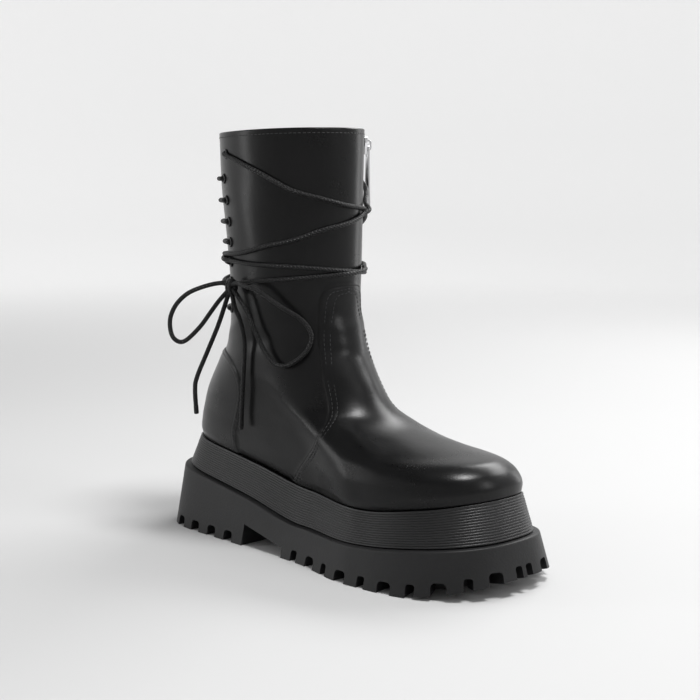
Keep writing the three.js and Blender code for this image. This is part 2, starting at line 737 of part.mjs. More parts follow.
function makeZipChain() {
  const count = 16;
  const top = ZIP_LINE[0].up;
  const bottom = ZIP_LINE[ZIP_LINE.length - 1].up;
  const points = [];
  for (let k = 0; k <= count; k += 1) {
    const { point, normal } = zipPlace(THREE.MathUtils.lerp(bottom, top, k / count));
    const side = new THREE.Vector3(normal.y, -normal.x, 0).normalize();
    const half = ZIP_WIDTH / 2;
    const clear = 1.5 * GAP;
    [[half, clear], [half, clear + ZIP_THICKNESS], [-half, clear + ZIP_THICKNESS], [-half, clear]].forEach(([across, lift]) => {
      points.push(point.clone().addScaledVector(side, across).addScaledVector(normal, lift));
    });
  }
  const triangles = [...wallTriangles(count + 1, 4)];
  const end = count * 4;
  triangles.push([0, 2, 1], [0, 3, 2], [end, end + 1, end + 2], [end, end + 2, end + 3]);
  const solid = solidFrom(geometryFrom(points, triangles));
  return solid.volume() > 0 ? geometryOf(solid) : geometryFrom(points, triangles.map(([a, b, c]) => [a, c, b]));
}

// The slider and pull are built in the slider's own frame: x across, y up, z away from the boot.
const SLIDER_UP = 0.962;
const SLIDER_BASE = 1.5 * GAP + ZIP_THICKNESS + GAP;
const BRIDGE_WIDTH = 1.8;
const BRIDGE_GAP = 2.6;
const BRIDGE_TOP = 1.2;
const PIN_LENGTH_ACROSS = 3.4;

function box(width, height, depth, x, y, z) {
  const geometry = new THREE.BoxGeometry(width, height, depth);
  geometry.translate(x, y, z);
  return solidFrom(geometry);
}

function makeSlider() {
  const shape = new THREE.Shape();
  const half = SLIDER_WIDTH / 2;
  const long = SLIDER_LENGTH / 2;
  shape.moveTo(-half * 0.62, -long);
  shape.lineTo(half * 0.62, -long);
  shape.lineTo(half, long * 0.3);
  shape.lineTo(half * 0.8, long);
  shape.lineTo(-half * 0.8, long);
  shape.lineTo(-half, long * 0.3);
  const plate = new THREE.ExtrudeGeometry(shape, { depth: SLIDER_THICKNESS, bevelEnabled: false });
  plate.translate(0, 0, SLIDER_BASE);
  const face = SLIDER_BASE + SLIDER_THICKNESS;
  const reach = SLIDER_LENGTH * 0.7;
  const lid = face + BRIDGE_GAP + BRIDGE_TOP / 2;
  const legHeight = BRIDGE_GAP + BRIDGE_TOP + 0.4;
  const legZ = face + (BRIDGE_GAP + BRIDGE_TOP - 0.4) / 2;
  const leg = (y) => box(BRIDGE_WIDTH, BRIDGE_TOP * 1.2, legHeight, 0, y, legZ);
  return solidFrom(plate)
    .add(box(BRIDGE_WIDTH, reach, BRIDGE_TOP, 0, 0, lid))
    .add(leg(reach / 2 - BRIDGE_TOP * 0.6))
    .add(leg(-reach / 2 + BRIDGE_TOP * 0.6));
}

const PULL_AXIS_Z = SLIDER_BASE + SLIDER_THICKNESS + BRIDGE_GAP / 2;

// The pull hangs from a bar under the bridge, with a slot that clears the bridge as it swings.
function makePull() {
  const bar = PULL_THICKNESS;
  const top = bar / 2;
  const shape = new THREE.Shape();
  const halfTop = PULL_WIDTH_TOP / 2;
  const halfTip = PULL_WIDTH_TIP / 2;
  shape.moveTo(-halfTop + 0.8, top);
  shape.lineTo(-halfTop, top - 0.8);
  shape.lineTo(-halfTop, -9);
  shape.lineTo(-halfTip, -PULL_LENGTH);
  shape.lineTo(halfTip, -PULL_LENGTH);
  shape.lineTo(halfTop, -9);
  shape.lineTo(halfTop, top - 0.8);
  shape.lineTo(halfTop - 0.8, top);
  const slot = new THREE.Path();
  const halfSlot = PIN_LENGTH_ACROSS / 2;
  slot.moveTo(-halfSlot, -bar / 2);
  slot.lineTo(-halfSlot, -7.4);
  slot.lineTo(halfSlot, -7.4);
  slot.lineTo(halfSlot, -bar / 2);
  shape.holes.push(slot);
  const geometry = new THREE.ExtrudeGeometry(shape, { depth: PULL_THICKNESS, bevelEnabled: false });
  geometry.translate(0, 0, -PULL_THICKNESS / 2);
  return geometry;
}

// The object

const boot = new THREE.Group();

function addPiece(name, geometry, finish, parent = boot) {
  const mesh = new THREE.Mesh(geometry, new THREE.MeshStandardMaterial(finish));
  mesh.name = name;
  parent.add(mesh);
  return mesh;
}

addPiece("outsole", geometryOf(makeOutsole()), OUTSOLE_RUBBER);
addPiece("midsole", geometryOf(makeMidsole()), MIDSOLE_RUBBER);
addPiece("insole", geometryOf(makeInsole()), LINING);
addPiece("upper", geometryOf(makeUpper()), LEATHER);
eyeletPlaces.forEach((place) => addPiece(place.name, makeEyelet(place), EYELET_METAL));
EYELET_ROWS.slice(1).forEach((row, i) => addPiece(`lace_bar_${i + 2}`, makeBar(row), LACE_CORD));
addPiece("lace_wraps", geometryOf(makeWraps()), LACE_CORD);
addPiece("lace_knot", makeKnot(), LACE_CORD);
addPiece("lace_loop_back", cordFromList(LOOP_BACK), LACE_CORD);
addPiece("lace_loop_front", cordFromList(LOOP_FRONT), LACE_CORD);
addPiece("lace_end_back", cordFromList(END_BACK), LACE_CORD);
addPiece("lace_end_front", cordFromList(END_FRONT), LACE_CORD);
addPiece("zip_chain", makeZipChain(), SILVER);

const slider = zipPlace(SLIDER_UP);
const sliderGroup = new THREE.Group();
const outward = new THREE.Vector3(slider.normal.x, slider.normal.y, 0).normalize();
const across = new THREE.Vector3(-outward.y, outward.x, 0);
sliderGroup.quaternion.setFromRotationMatrix(new THREE.Matrix4().makeBasis(across, new THREE.Vector3(0, 0, 1), outward));
sliderGroup.position.copy(slider.point);
boot.add(sliderGroup);
addPiece("zip_slider", geometryOf(makeSlider()), SILVER, sliderGroup);
const pull = addPiece("zip_pull", makePull(), SILVER, sliderGroup);
pull.position.set(0, 0, PULL_AXIS_Z);

export default boot;
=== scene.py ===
"""Looks of a right platform boot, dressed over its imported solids.

Lengths in the classes are millimetres in the boot's own frame: +X to the toe, +Y to the wearer's inner
side, +Z up, the floor at z = 0. They become metres where a mesh is made.
"""

import logging
import math
from dataclasses import dataclass, field
from enum import Enum

import bmesh
import bpy
import numpy as np
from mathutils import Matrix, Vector


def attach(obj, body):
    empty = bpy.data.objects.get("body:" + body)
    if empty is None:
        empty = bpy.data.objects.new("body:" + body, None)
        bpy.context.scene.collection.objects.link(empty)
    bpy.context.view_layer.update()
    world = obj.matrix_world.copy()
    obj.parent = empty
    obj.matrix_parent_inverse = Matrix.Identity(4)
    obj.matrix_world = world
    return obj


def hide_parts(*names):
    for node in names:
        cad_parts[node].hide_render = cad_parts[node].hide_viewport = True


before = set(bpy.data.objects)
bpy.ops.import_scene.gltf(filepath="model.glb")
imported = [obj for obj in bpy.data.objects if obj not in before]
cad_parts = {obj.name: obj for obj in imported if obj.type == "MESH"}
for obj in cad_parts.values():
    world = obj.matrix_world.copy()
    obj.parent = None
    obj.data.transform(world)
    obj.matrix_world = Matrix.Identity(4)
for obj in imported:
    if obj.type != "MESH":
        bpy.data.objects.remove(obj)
LOG = logging.getLogger("boot")
MM = 0.001
BOOT = "boot"
PULL = "pull"
# How deep the tread's cutters reach under the floor
CUTTER_BOTTOM = -12.0
# How far the vamp's two stitch rows stand inside its edge
SEAM_ROWS = (2.0, 4.2)
# Scale and detail of the broad and of the fine unevenness of every finish
BROAD_NOISE = (28.0, 3.0)
FINE_NOISE = (420.0, 2.0)
# The broad noise's range, and the range of the colour's factor that it gives
SHADE_RANGE = (0.3, 0.7, 0.86, 1.16)

Socket = bpy.types.NodeSocket
Paints = dict[str, bpy.types.Material]
# Vertices, faces and a UV pair for each vertex
Solid = tuple[np.ndarray, list, np.ndarray]


class Table:
    """Smooth curves through the rows of a table that never overshoot, one for each column after the first."""

    def __init__(self, rows: list | tuple | np.ndarray) -> None:
        """Keeps the rows and works out the curves' slopes.

        Args:
            rows: the rows, each with its place first; the places rise.
        """
        rows = np.asarray(rows, float)
        self.xs, self.ys = rows[:, 0], rows[:, 1:]
        self.step = np.diff(self.xs)
        rise = np.diff(self.ys, axis=0) / self.step[:, None]
        near = (2 * self.step[1:] + self.step[:-1])[:, None]
        far = (self.step[1:] + 2 * self.step[:-1])[:, None]
        turning = rise[:-1] * rise[1:] <= 0
        below, above = np.where(turning, 1.0, rise[:-1]), np.where(turning, 1.0, rise[1:])
        middle = np.where(turning, 0.0, (near + far) / (near / below + far / above))
        self.slope = np.vstack([rise[:1], middle, rise[-1:]])

    def read(self, at: np.ndarray) -> np.ndarray:
        """Reads every curve.

        Args:
            at: where the curves are read.

        Returns:
            The values, with one more axis than at, one place for each column.
        """
        place = np.clip(np.asarray(at, float), self.xs[0], self.xs[-1])
        k = np.clip(np.searchsorted(self.xs, place, side="right") - 1, 0, len(self.step) - 1)
        step = self.step[k][..., None]
        t = (place[..., None] - self.xs[k][..., None]) / step
        t2, t3 = t * t, t * t * t
        return (
            (2 * t3 - 3 * t2 + 1) * self.ys[k]
            + (t3 - 2 * t2 + t) * step * self.slope[k]
            + (3 * t2 - 2 * t3) * self.ys[k + 1]
            + (t3 - t2) * step * self.slope[k + 1]
        )


def smooth(value: np.ndarray, low: float, high: float) -> np.ndarray:
    """A soft step from 0 at low to 1 at high."""
    t = np.clip((np.asarray(value, float) - low) / (high - low), 0, 1)
    return t * t * (3 - 2 * t)


def circle(count: int) -> np.ndarray:
    """Turns in radians, spaced evenly round a circle."""
    return np.arange(count) * 2 * np.pi / count


def unit(ways: np.ndarray) -> np.ndarray:
    """Ways brought to length 1."""
    return ways / np.linalg.norm(ways, axis=-1, keepdims=True)


def run_along(line: np.ndarray) -> np.ndarray:
    """How far along a line each of its points lies."""
    return np.concatenate([[0], np.cumsum(np.linalg.norm(np.diff(line, axis=0), axis=1))])


def spline(points: np.ndarray, count: int) -> np.ndarray:
    """A soft curve through given points.

    Args:
        points: the points, one per row.
        count: how many points the curve gets.

    Returns:
        Evenly spaced points along the curve.
    """
    points = np.asarray(points, float)
    ends = np.vstack([2 * points[0] - points[1], points, 2 * points[-1] - points[-2]])
    parts = []
    for i in range(1, len(ends) - 2):
        t = np.linspace(0, 1, 24, endpoint=False)[:, None]
        a, b, c, d = ends[i - 1], ends[i], ends[i + 1], ends[i + 2]
        parts.append(
            0.5 * (2 * b + (c - a) * t + (2 * a - 5 * b + 4 * c - d) * t**2 + (3 * b - a - 3 * c + d) * t**3)
        )
    line = np.vstack(parts + [points[-1:]])
    run = run_along(line)
    wanted = np.linspace(0, run[-1], count)
    return np.stack([np.interp(wanted, run, line[:, k]) for k in range(line.shape[1])], axis=1)


@dataclass
class BootForm:
    """The boot's sizes and its two shapes: the sole's outline and the last's skin."""

    sole_length: float = 290.0
    ball_width: float = 112.0
    heel_stack: float = 62.4
    outsole_heel: float = 43.1
    collar_height: float = 272.0
    shaft_outer: float = 41.5
    shaft_inner: float = 40.0
    wall: float = 2.0
    gap: float = 0.3
    toe_spring: float = 10.0
    toe_spring_start: float = 0.78
    toe_turn: float = 6.2
    ledge_inset: float = 5.7
    upper_inset: float = 17.2
    # heel end, heel power, toe start and toe power of the sole's outline
    sole_rounding: tuple = (0.16, 2.98, 0.74, 2.43)
    # rises at which the skin has the shaft's width, and no longer follows the midsole's dip
    shaft_from: float = 0.62
    sag_end: float = 0.5
    shaft_shift: float = 2.0
    # along, outer half width, inner half width, ledge height, feather height
    stations: Table = field(
        default_factory=lambda: Table([
            [0, 0.365, 0.365, 1, 1],
            [0.12, 0.38, 0.375, 0.9, 0.94],
            [0.3, 0.4, 0.365, 0.724, 0.833],
            [0.5, 0.423, 0.375, 0.494, 0.699],
            [0.7, 0.53, 0.475, 0.519, 0.678],
            [0.88, 0.53, 0.51, 0.625, 0.775],
            [1, 0.53, 0.51, 0.709, 0.868],
        ])
    )
    # rise, front, front up, back, back up, heel, ball, heel end, heel power, toe start, toe power
    loops: Table = field(
        default_factory=lambda: Table([
            [0, 1, 0, -1, 0, 1, 1, 0.16, 2.9, 0.74, 2.45],
            [0.07, 1.003, 0.026, -1.014, 0.031, 1.05, 1.07, 0.17, 2.7, 0.74, 2.4],
            [0.14, 0.977, 0.058, -1.01, 0.07, 1.07, 1.08, 0.2, 2.5, 0.73, 2.3],
            [0.21, 0.905, 0.083, -0.993, 0.113, 1.06, 1.03, 0.24, 2.4, 0.7, 2.15],
            [0.29, 0.747, 0.093, -0.963, 0.16, 1.04, 0.94, 0.28, 2.3, 0.66, 2],
            [0.37, 0.518, 0.117, -0.918, 0.213, 1.01, 0.86, 0.34, 2.2, 0.6, 2],
            [0.45, 0.292, 0.158, -0.86, 0.27, 0.98, 0.84, 0.4, 2.1, 0.55, 2],
            [0.53, 0.148, 0.247, -0.8, 0.332, 0.95, 0.86, 0.45, 2, 0.52, 2],
            [0.61, 0.051, 0.359, -0.768, 0.404, 0.92, 0.88, 0.49, 2, 0.5, 2],
            [0.7, 0.001, 0.488, -0.757, 0.499, 0.925, 0.92, 0.5, 2, 0.5, 2],
            [0.8, 0.006, 0.653, -0.779, 0.652, 0.955, 0.97, 0.5, 2, 0.5, 2],
            [0.9, 0.012, 0.826, -0.812, 0.823, 0.99, 1, 0.5, 2, 0.5, 2],
            [1, 0.017, 1, -0.822, 1, 1.02, 1.03, 0.5, 2, 0.5, 2],
        ])
    )

    @property
    def half_length(self) -> float:
        """Half the upper's length at the feather line."""
        return self.sole_length / 2 - self.upper_inset

    def station(self, turn: np.ndarray) -> tuple[np.ndarray, np.ndarray]:
        """The share of the length and the side, -1 outer and 1 inner, at a turn in radians."""
        wrapped = np.mod(turn, 2 * np.pi)
        return (1 - np.cos(wrapped)) / 2, np.where(wrapped <= np.pi, -1.0, 1.0)

    def column(self, along: np.ndarray, k: int) -> np.ndarray:
        """One column of the sole's table, read at shares of the length."""
        return self.stations.read(along)[..., k - 1]

    def feather(self, along: np.ndarray) -> np.ndarray:
        """Height of the midsole's top."""
        return self.heel_stack * self.column(along, 4)

    def ledge(self, along: np.ndarray) -> np.ndarray:
        """Height of the outsole's top."""
        return self.outsole_heel * self.column(along, 3)

    def floor(self, along: np.ndarray) -> np.ndarray:
        """Height of the tread over the floor, raised at the toe."""
        share = (along - self.toe_spring_start) / (1 - self.toe_spring_start)
        return self.toe_spring * np.clip(share, 0, 1) ** 2

    def sole_half(self, along: np.ndarray, side: np.ndarray) -> np.ndarray:
        """Half the sole's width on one side."""
        return self.ball_width * np.where(side < 0, self.column(along, 1), self.column(along, 2))

    def middle(self, along: np.ndarray) -> np.ndarray:
        """How far the sole's middle line turns inwards."""
        return self.toe_turn * np.clip((along - 0.45) / 0.55, 0, 1) ** 2

    @staticmethod
    def rounding(along, heel_end, heel_power, toe_start, toe_power) -> np.ndarray:
        """How wide a loop is along its length, from 0 at its ends to 1."""
        heel = np.clip((heel_end - along) / heel_end, 0, 1)
        toe = np.clip((along - toe_start) / (1 - toe_start), 0, 1)
        by_heel = np.maximum(0, 1 - heel**heel_power) ** (1 / heel_power)
        by_toe = np.maximum(0, 1 - toe**toe_power) ** (1 / toe_power)
        return np.where(along < heel_end, by_heel, np.where(along > toe_start, by_toe, 1.0))

    def sole_point(self, turn: np.ndarray, inset: float | np.ndarray, height: np.ndarray) -> np.ndarray:
        """Points of the sole's outline at an inset and a height."""
        along, side = self.station(turn)
        width = (self.sole_half(along, side) - inset) * self.rounding(along, *self.sole_rounding)
        x = -self.sole_length / 2 + inset + along * (self.sole_length - 2 * inset)
        return np.stack([x, self.middle(along) + side * width, height + 0 * x], axis=-1)

    def skin(self, turn: np.ndarray, rise: np.ndarray) -> np.ndarray:
        """Points of the upper's outer surface at turns and rises."""
        along, side = self.station(turn)
        row = np.moveaxis(self.loops.read(rise), -1, 0)
        front, front_up, back, back_up, heel, ball, heel_end, heel_power, toe_start, toe_power = row
        to_shaft = smooth(rise, 0, self.shaft_from)
        shaft = np.where(side < 0, self.shaft_outer, self.shaft_inner)
        width = (self.sole_half(along, side) - self.upper_inset) * (1 - to_shaft) + shaft * to_shaft
        width = width * (heel * (1 - along) + ball * along)
        width = width * self.rounding(along, heel_end, heel_power, toe_start, toe_power)
        heel_bed = float(self.feather(np.array(0.0))) + self.gap
        toe_bed = float(self.feather(np.array(1.0))) + self.gap
        back_z = heel_bed + back_up * (self.collar_height - heel_bed)
        front_z = toe_bed + front_up * (self.collar_height - toe_bed)
        sag = self.feather(along) + self.gap - (heel_bed * (1 - along) + toe_bed * along)
        x = self.half_length * (back * (1 - along) + front * along)
        y = self.middle(along) * (1 - to_shaft) + self.shaft_shift * to_shaft + side * width
        z = back_z * (1 - along) + front_z * along + sag * (1 - smooth(rise, 0, self.sag_end))
        return np.stack([x, y, z], axis=-1)

    def skin_normal(self, turn: np.ndarray, rise: np.ndarray) -> np.ndarray:
        """Outward directions of the skin, level at its two rims."""
        turn, rise = np.broadcast_arrays(np.asarray(turn, float), np.asarray(rise, float))
        low, high = np.clip(rise - 0.004, 0, 1), np.clip(rise + 0.004, 0, 1)
        round_ = self.skin(turn + 0.02, rise) - self.skin(turn - 0.02, rise)
        up = self.skin(turn, high) - self.skin(turn, low)
        normal = np.cross(round_, up)
        rim = (low <= 0) | (high >= 1)
        normal[..., 2] = np.where(rim, 0.0, normal[..., 2])
        return normal / (np.linalg.norm(normal, axis=-1, keepdims=True) + 1e-12)

    def lifted(self, turn: np.ndarray, rise: np.ndarray, lift: np.ndarray) -> np.ndarray:
        """Points off the skin by a lift along its outward direction."""
        lift = np.asarray(lift, float)
        return self.skin(turn, rise) + self.skin_normal(turn, rise) * lift[..., None]

    def rise_at(self, turn: np.ndarray, height: np.ndarray) -> np.ndarray:
        """The rise at which the skin reaches a height, for each turn."""
        turn, height = np.broadcast_arrays(np.asarray(turn, float), np.asarray(height, float))
        low, high = np.zeros(turn.shape), np.ones(turn.shape)
        for _ in range(24):
            mid = (low + high) / 2
            below = self.skin(turn, mid)[..., 2] < height
            low, high = np.where(below, mid, low), np.where(below, high, mid)
        return (low + high) / 2

    def turn_at_x(self, x: np.ndarray, height: np.ndarray, inner: bool) -> np.ndarray:
        """The turns on one side at which the skin has an x, at a height."""
        x, height = np.broadcast_arrays(np.asarray(x, float), np.asarray(height, float))
        low = np.full(x.shape, math.pi if inner else 0.0)
        high = low + math.pi
        for _ in range(26):
            mid = (low + high) / 2
            here = self.skin(mid, self.rise_at(mid, height))[..., 0]
            low_side = (here > x) == inner
            low, high = np.where(low_side, mid, low), np.where(low_side, high, mid)
        return (low + high) / 2


FORM = BootForm()


def link_object(name: str, data: bpy.types.ID) -> bpy.types.Object:
    """Puts a mesh, lamp or camera into the scene as an object at the origin."""
    obj = bpy.data.objects.new(name, data)
    bpy.context.collection.objects.link(obj)
    return obj


def make_object(
    name: str,
    points: np.ndarray,
    faces: list,
    materials: list,
    face_material: np.ndarray | None = None,
    uv: np.ndarray | None = None,
    values: dict[str, np.ndarray] | None = None,
    flat: bool = False,
) -> bpy.types.Object:
    """Makes a mesh object at the origin.

    Args:
        name: the piece's name.
        points: vertices in millimetres.
        faces: vertex numbers of each face.
        materials: the materials, in slot order.
        face_material: the slot of each face, all 0 if left out.
        uv: a UV pair for each vertex.
        values: named numbers for each vertex, kept as attributes.
        flat: whether the faces are shaded flat.

    Returns:
        The object.
    """
    mesh = bpy.data.meshes.new(name)
    mesh.from_pydata((np.asarray(points, float) * MM).tolist(), [], [list(map(int, f)) for f in faces])
    for material in materials:
        mesh.materials.append(material)
    if face_material is not None:
        mesh.polygons.foreach_set("material_index", np.asarray(face_material, np.int32))
    if uv is not None:
        layer = mesh.uv_layers.new(name="UVMap")
        loops = np.empty(len(mesh.loops), np.int32)
        mesh.loops.foreach_get("vertex_index", loops)
        layer.data.foreach_set("uv", np.asarray(uv, float)[loops].ravel())
    for key, numbers in (values or {}).items():
        attribute = mesh.attributes.new(key, "FLOAT", "POINT")
        attribute.data.foreach_set("value", np.asarray(numbers, np.float32).ravel())
    mesh.polygons.foreach_set("use_smooth", np.full(len(mesh.polygons), not flat))
    mesh.validate()
    mesh.update()
    return link_object(name, mesh)


def ring_faces(rows: int, n: int, closed: bool = False) -> list[tuple[int, int, int, int]]:
    """Quads between stacked rings of n points, joined end to end if closed."""
    faces = []
    for k in range(rows if closed else rows - 1):
        a0, b0 = k * n, ((k + 1) % rows) * n
        for i in range(n):
            j = (i + 1) % n
            faces.append((a0 + i, a0 + j, b0 + j, b0 + i))
    return faces


def lid_faces(n: int, start: int, up: bool) -> list[tuple[int, ...]]:
    """Strips across a ring whose points i and n - i share a station."""
    faces = []
    for i in range(n // 2):
        strip = [start + i, start + i + 1, start + (n - i - 1) % n, start + (n - i) % n]
        strip = list(dict.fromkeys(strip))
        if len(strip) > 2:
            faces.append(tuple(strip if up else reversed(strip)))
    return faces


def layered(stack: list[np.ndarray]) -> tuple[np.ndarray, list]:
    """A closed body from stacked rings, as its vertices and faces."""
    rows, n = len(stack), len(stack[0])
    faces = ring_faces(rows, n) + lid_faces(n, 0, False) + lid_faces(n, (rows - 1) * n, True)
    return np.vstack(stack), faces


def bar(near: list, far: list) -> Solid:
    """A closed bar between two copies of a shape.

    Args:
        near: the first copy's points.
        far: the second copy's points.

    Returns:
        Vertices, faces and an empty UV pair for each vertex.
    """
    n = len(near)
    faces = [tuple(range(n)), tuple(reversed(range(n, 2 * n)))]
    faces += [(i, n + i, n + (i + 1) % n, (i + 1) % n) for i in range(n)]
    return np.vstack([near, far]), faces, np.zeros((2 * n, 2))


def tube(
    line: np.ndarray, radius: float | np.ndarray, sides: int = 12
) -> Solid:
    """A round closed tube along a line.

    Args:
        line: the middle line's points, millimetres.
        radius: one radius, or one for each point.
        sides: how many sides the tube has.

    Returns:
        Vertices, faces and a UV pair for each vertex, u round the tube and v along it in millimetres.
    """
    line = np.asarray(line, float)
    radius = np.broadcast_to(np.asarray(radius, float), (len(line),))
    ahead = np.gradient(line, axis=0)
    ahead /= np.linalg.norm(ahead, axis=1, keepdims=True) + 1e-12
    side = np.cross(ahead[0], [0.31, 0.17, 0.93])
    side /= np.linalg.norm(side)
    run = run_along(line)
    angle = circle(sides)
    points, uv = [], []
    for k, (at, way) in enumerate(zip(line, ahead)):
        side = side - way * (side @ way)
        side /= np.linalg.norm(side)
        other = np.cross(way, side)
        points.append(at + radius[k] * (np.cos(angle)[:, None] * side + np.sin(angle)[:, None] * other))
        uv.append(np.stack([np.arange(sides) / sides, np.full(sides, run[k])], axis=1))
    faces = ring_faces(len(line), sides)
    count = len(line) * sides
    faces += [tuple(range(sides))[::-1], tuple(range(count - sides, count))]
    return np.vstack(points), faces, np.vstack(uv)


def join_parts(parts: list[Solid]) -> Solid:
    """Several meshes' vertices, faces and UVs as one."""
    points, faces, uvs, start = [], [], [], 0
    for verts, polygons, uv in parts:
        points.append(verts)
        uvs.append(uv)
        faces += [tuple(v + start for v in polygon) for polygon in polygons]
        start += len(verts)
    return np.vstack(points), faces, np.vstack(uvs)


def apply_modifiers(obj: bpy.types.Object) -> None:
    """Turns an object's modifiers into plain mesh."""
    graph = bpy.context.evaluated_depsgraph_get()
    mesh = bpy.data.meshes.new_from_object(obj.evaluated_get(graph))
    obj.modifiers.clear()
    obj.data = mesh


def face_outwards(obj: bpy.types.Object) -> None:
    """Turns a closed mesh's faces outwards."""
    work = bmesh.new()
    work.from_mesh(obj.data)
    bmesh.ops.recalc_face_normals(work, faces=work.faces)
    work.to_mesh(obj.data)
    work.free()


def round_edges(obj: bpy.types.Object, width: float, segments: int, **limits) -> None:
    """Rounds an object's sharp edges.

    Args:
        obj: the object.
        width: how wide the rounding is, millimetres.
        segments: how many steps it has.
        limits: further settings of the Bevel modifier.
    """
    edge = obj.modifiers.new("edge", "BEVEL")
    edge.width = width * MM
    edge.segments = segments
    edge.limit_method = "ANGLE"
    edge.harden_normals = True
    for key, value in limits.items():
        setattr(edge, key, value)
    apply_modifiers(obj)


def grow(
    name: str,
    points: np.ndarray,
    edges: list,
    group: bpy.types.NodeTree,
    lengths: dict[str, float],
    outward: np.ndarray | None = None,
) -> bpy.types.Object:
    """Makes a piece by a Geometry Nodes group.

    Args:
        name: the piece's name.
        points: the points that the group is given, millimetres.
        edges: pairs of point numbers.
        group: the node group.
        lengths: the group's inputs by name, millimetres.
        outward: a direction for each point, if the group reads one.

    Returns:
        The piece as one plain mesh.
    """
    mesh = bpy.data.meshes.new(name)
    mesh.from_pydata((np.asarray(points) * MM).tolist(), edges, [])
    if outward is not None:
        attribute = mesh.attributes.new("outward", "FLOAT_VECTOR", "POINT")
        attribute.data.foreach_set("vector", np.asarray(outward, np.float32).ravel())
    obj = link_object(name, mesh)
    modifier = obj.modifiers.new("copies", "NODES")
    modifier.node_group = group
    for item in group.interface.items_tree:
        if item.in_out == "INPUT" and item.name in lengths:
            modifier[item.identifier] = lengths[item.name] * MM
    apply_modifiers(obj)
    return obj


def settle(obj: bpy.types.Object, body: str, slot: str, *nodes: str) -> bpy.types.Object:
    """Puts a finished piece on its body and in the place of its nodes."""
    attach(obj, body)
    if nodes:
        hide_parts(*nodes)
    count = sum(len(p.vertices) - 2 for p in obj.data.polygons)
    LOG.info("%s: %d triangles on %s", obj.name, count, body)
    return obj


class NodeSheet:
    """A short way to fill a node tree."""

    def __init__(self, tree: bpy.types.NodeTree) -> None:
        """Keeps the tree.

        Args:
            tree: the tree to fill.
        """
        self.tree = tree

    def add(self, kind: str, inputs: dict | None = None, **settings) -> bpy.types.Node:
        """Adds a node.

        Args:
            kind: the node's type.
            inputs: what goes into its sockets, by name or number.
            settings: the node's properties.

        Returns:
            The node.
        """
        node = self.tree.nodes.new(kind)
        for key, value in settings.items():
            setattr(node, key, value)
        self.feed(node, inputs or {})
        return node

    def feed(self, node: bpy.types.Node, inputs: dict) -> None:
        """Fills a node's sockets, by name or number, with values or with other nodes' sockets."""
        for key, value in inputs.items():
            socket = node.inputs[key]
            if isinstance(value, Socket):
                self.tree.links.new(value, socket)
            else:
                socket.default_value = value

    def math(self, operation: str, a, b=0.0, c=0.0) -> Socket:
        """A Math node's result."""
        return self.add("ShaderNodeMath", operation=operation, inputs={0: a, 1: b, 2: c}).outputs[0]

    def ramp(self, value, low: float, high: float, start=0.0, end=1.0) -> Socket:
        """A value carried smoothly from the range low to high to the range start to end."""
        inputs = {"Value": value, "From Min": low, "From Max": high, "To Min": start, "To Max": end}
        return self.add("ShaderNodeMapRange", inputs, interpolation_type="SMOOTHSTEP").outputs[0]

    def noise(self, where, scale: float, detail: float) -> Socket:
        """Soft noise over a place."""
        inputs = {"Vector": where, "Scale": scale, "Detail": detail}
        return self.add("ShaderNodeTexNoise", inputs).outputs["Fac"]


class GroupSheet(NodeSheet):
    """A Geometry Nodes group that sets copies of a part on points."""

    def __init__(self, name: str, lengths: dict[str, float]) -> None:
        """Opens the group with its inputs.

        Args:
            name: the group's name.
            lengths: its inputs by name, with what each holds at first, millimetres.
        """
        super().__init__(bpy.data.node_groups.new(name, "GeometryNodeTree"))
        face = self.tree.interface
        face.new_socket("Geometry", in_out="INPUT", socket_type="NodeSocketGeometry")
        for label, size in lengths.items():
            socket = face.new_socket(label, in_out="INPUT", socket_type="NodeSocketFloat")
            socket.default_value = size * MM
        face.new_socket("Geometry", in_out="OUTPUT", socket_type="NodeSocketGeometry")
        self.given = self.add("NodeGroupInput").outputs

    def even_points(self) -> Socket:
        """Points a pitch apart along the given edges."""
        curve = self.add("GeometryNodeMeshToCurve", {"Mesh": self.given["Geometry"]}).outputs[0]
        inputs = {"Curve": curve, "Length": self.given["Pitch"]}
        return self.add("GeometryNodeResampleCurve", inputs, mode="LENGTH").outputs[0]

    def outward(self) -> Socket:
        """A rotation that turns up to the direction kept on each point."""
        kept = {"Name": "outward"}
        way = self.add("GeometryNodeInputNamedAttribute", kept, data_type="FLOAT_VECTOR").outputs[0]
        return self.add("FunctionNodeAlignRotationToVector", {"Vector": way}, axis="Z").outputs[0]

    def tangent(self) -> Socket:
        """The direction of the line at each point."""
        return self.add("GeometryNodeInputTangent").outputs[0]

    def close(self, copies: dict, material: bpy.types.Material, rounded: bool = False) -> bpy.types.NodeTree:
        """Sets the copies, makes them plain mesh in their material and ends the group.

        Args:
            copies: what goes into the node that sets them.
            material: their material.
            rounded: whether they are shaded smooth.

        Returns:
            The group.
        """
        shape = self.add("GeometryNodeInstanceOnPoints", copies).outputs[0]
        shape = self.add("GeometryNodeRealizeInstances", {0: shape}).outputs[0]
        if rounded:
            shape = self.add("GeometryNodeSetShadeSmooth", {0: shape}).outputs[0]
        paint = {"Geometry": shape, "Material": material}
        shape = self.add("GeometryNodeSetMaterial", paint).outputs[0]
        self.add("NodeGroupOutput", {0: shape})
        return self.tree


def open_material(name: str) -> tuple[bpy.types.Material, NodeSheet, bpy.types.Node]:
    """A new material, its sheet and its shader node."""
    material = bpy.data.materials.new(name)
    material.use_nodes = True
    return material, NodeSheet(material.node_tree), material.node_tree.nodes["Principled BSDF"]


class Grain(Enum):
    """What covers a surface."""

    LEATHER = "leather"
    RUBBER = "rubber"
    BRAID = "braid"
    METAL = "metal"
    CLOTH = "cloth"


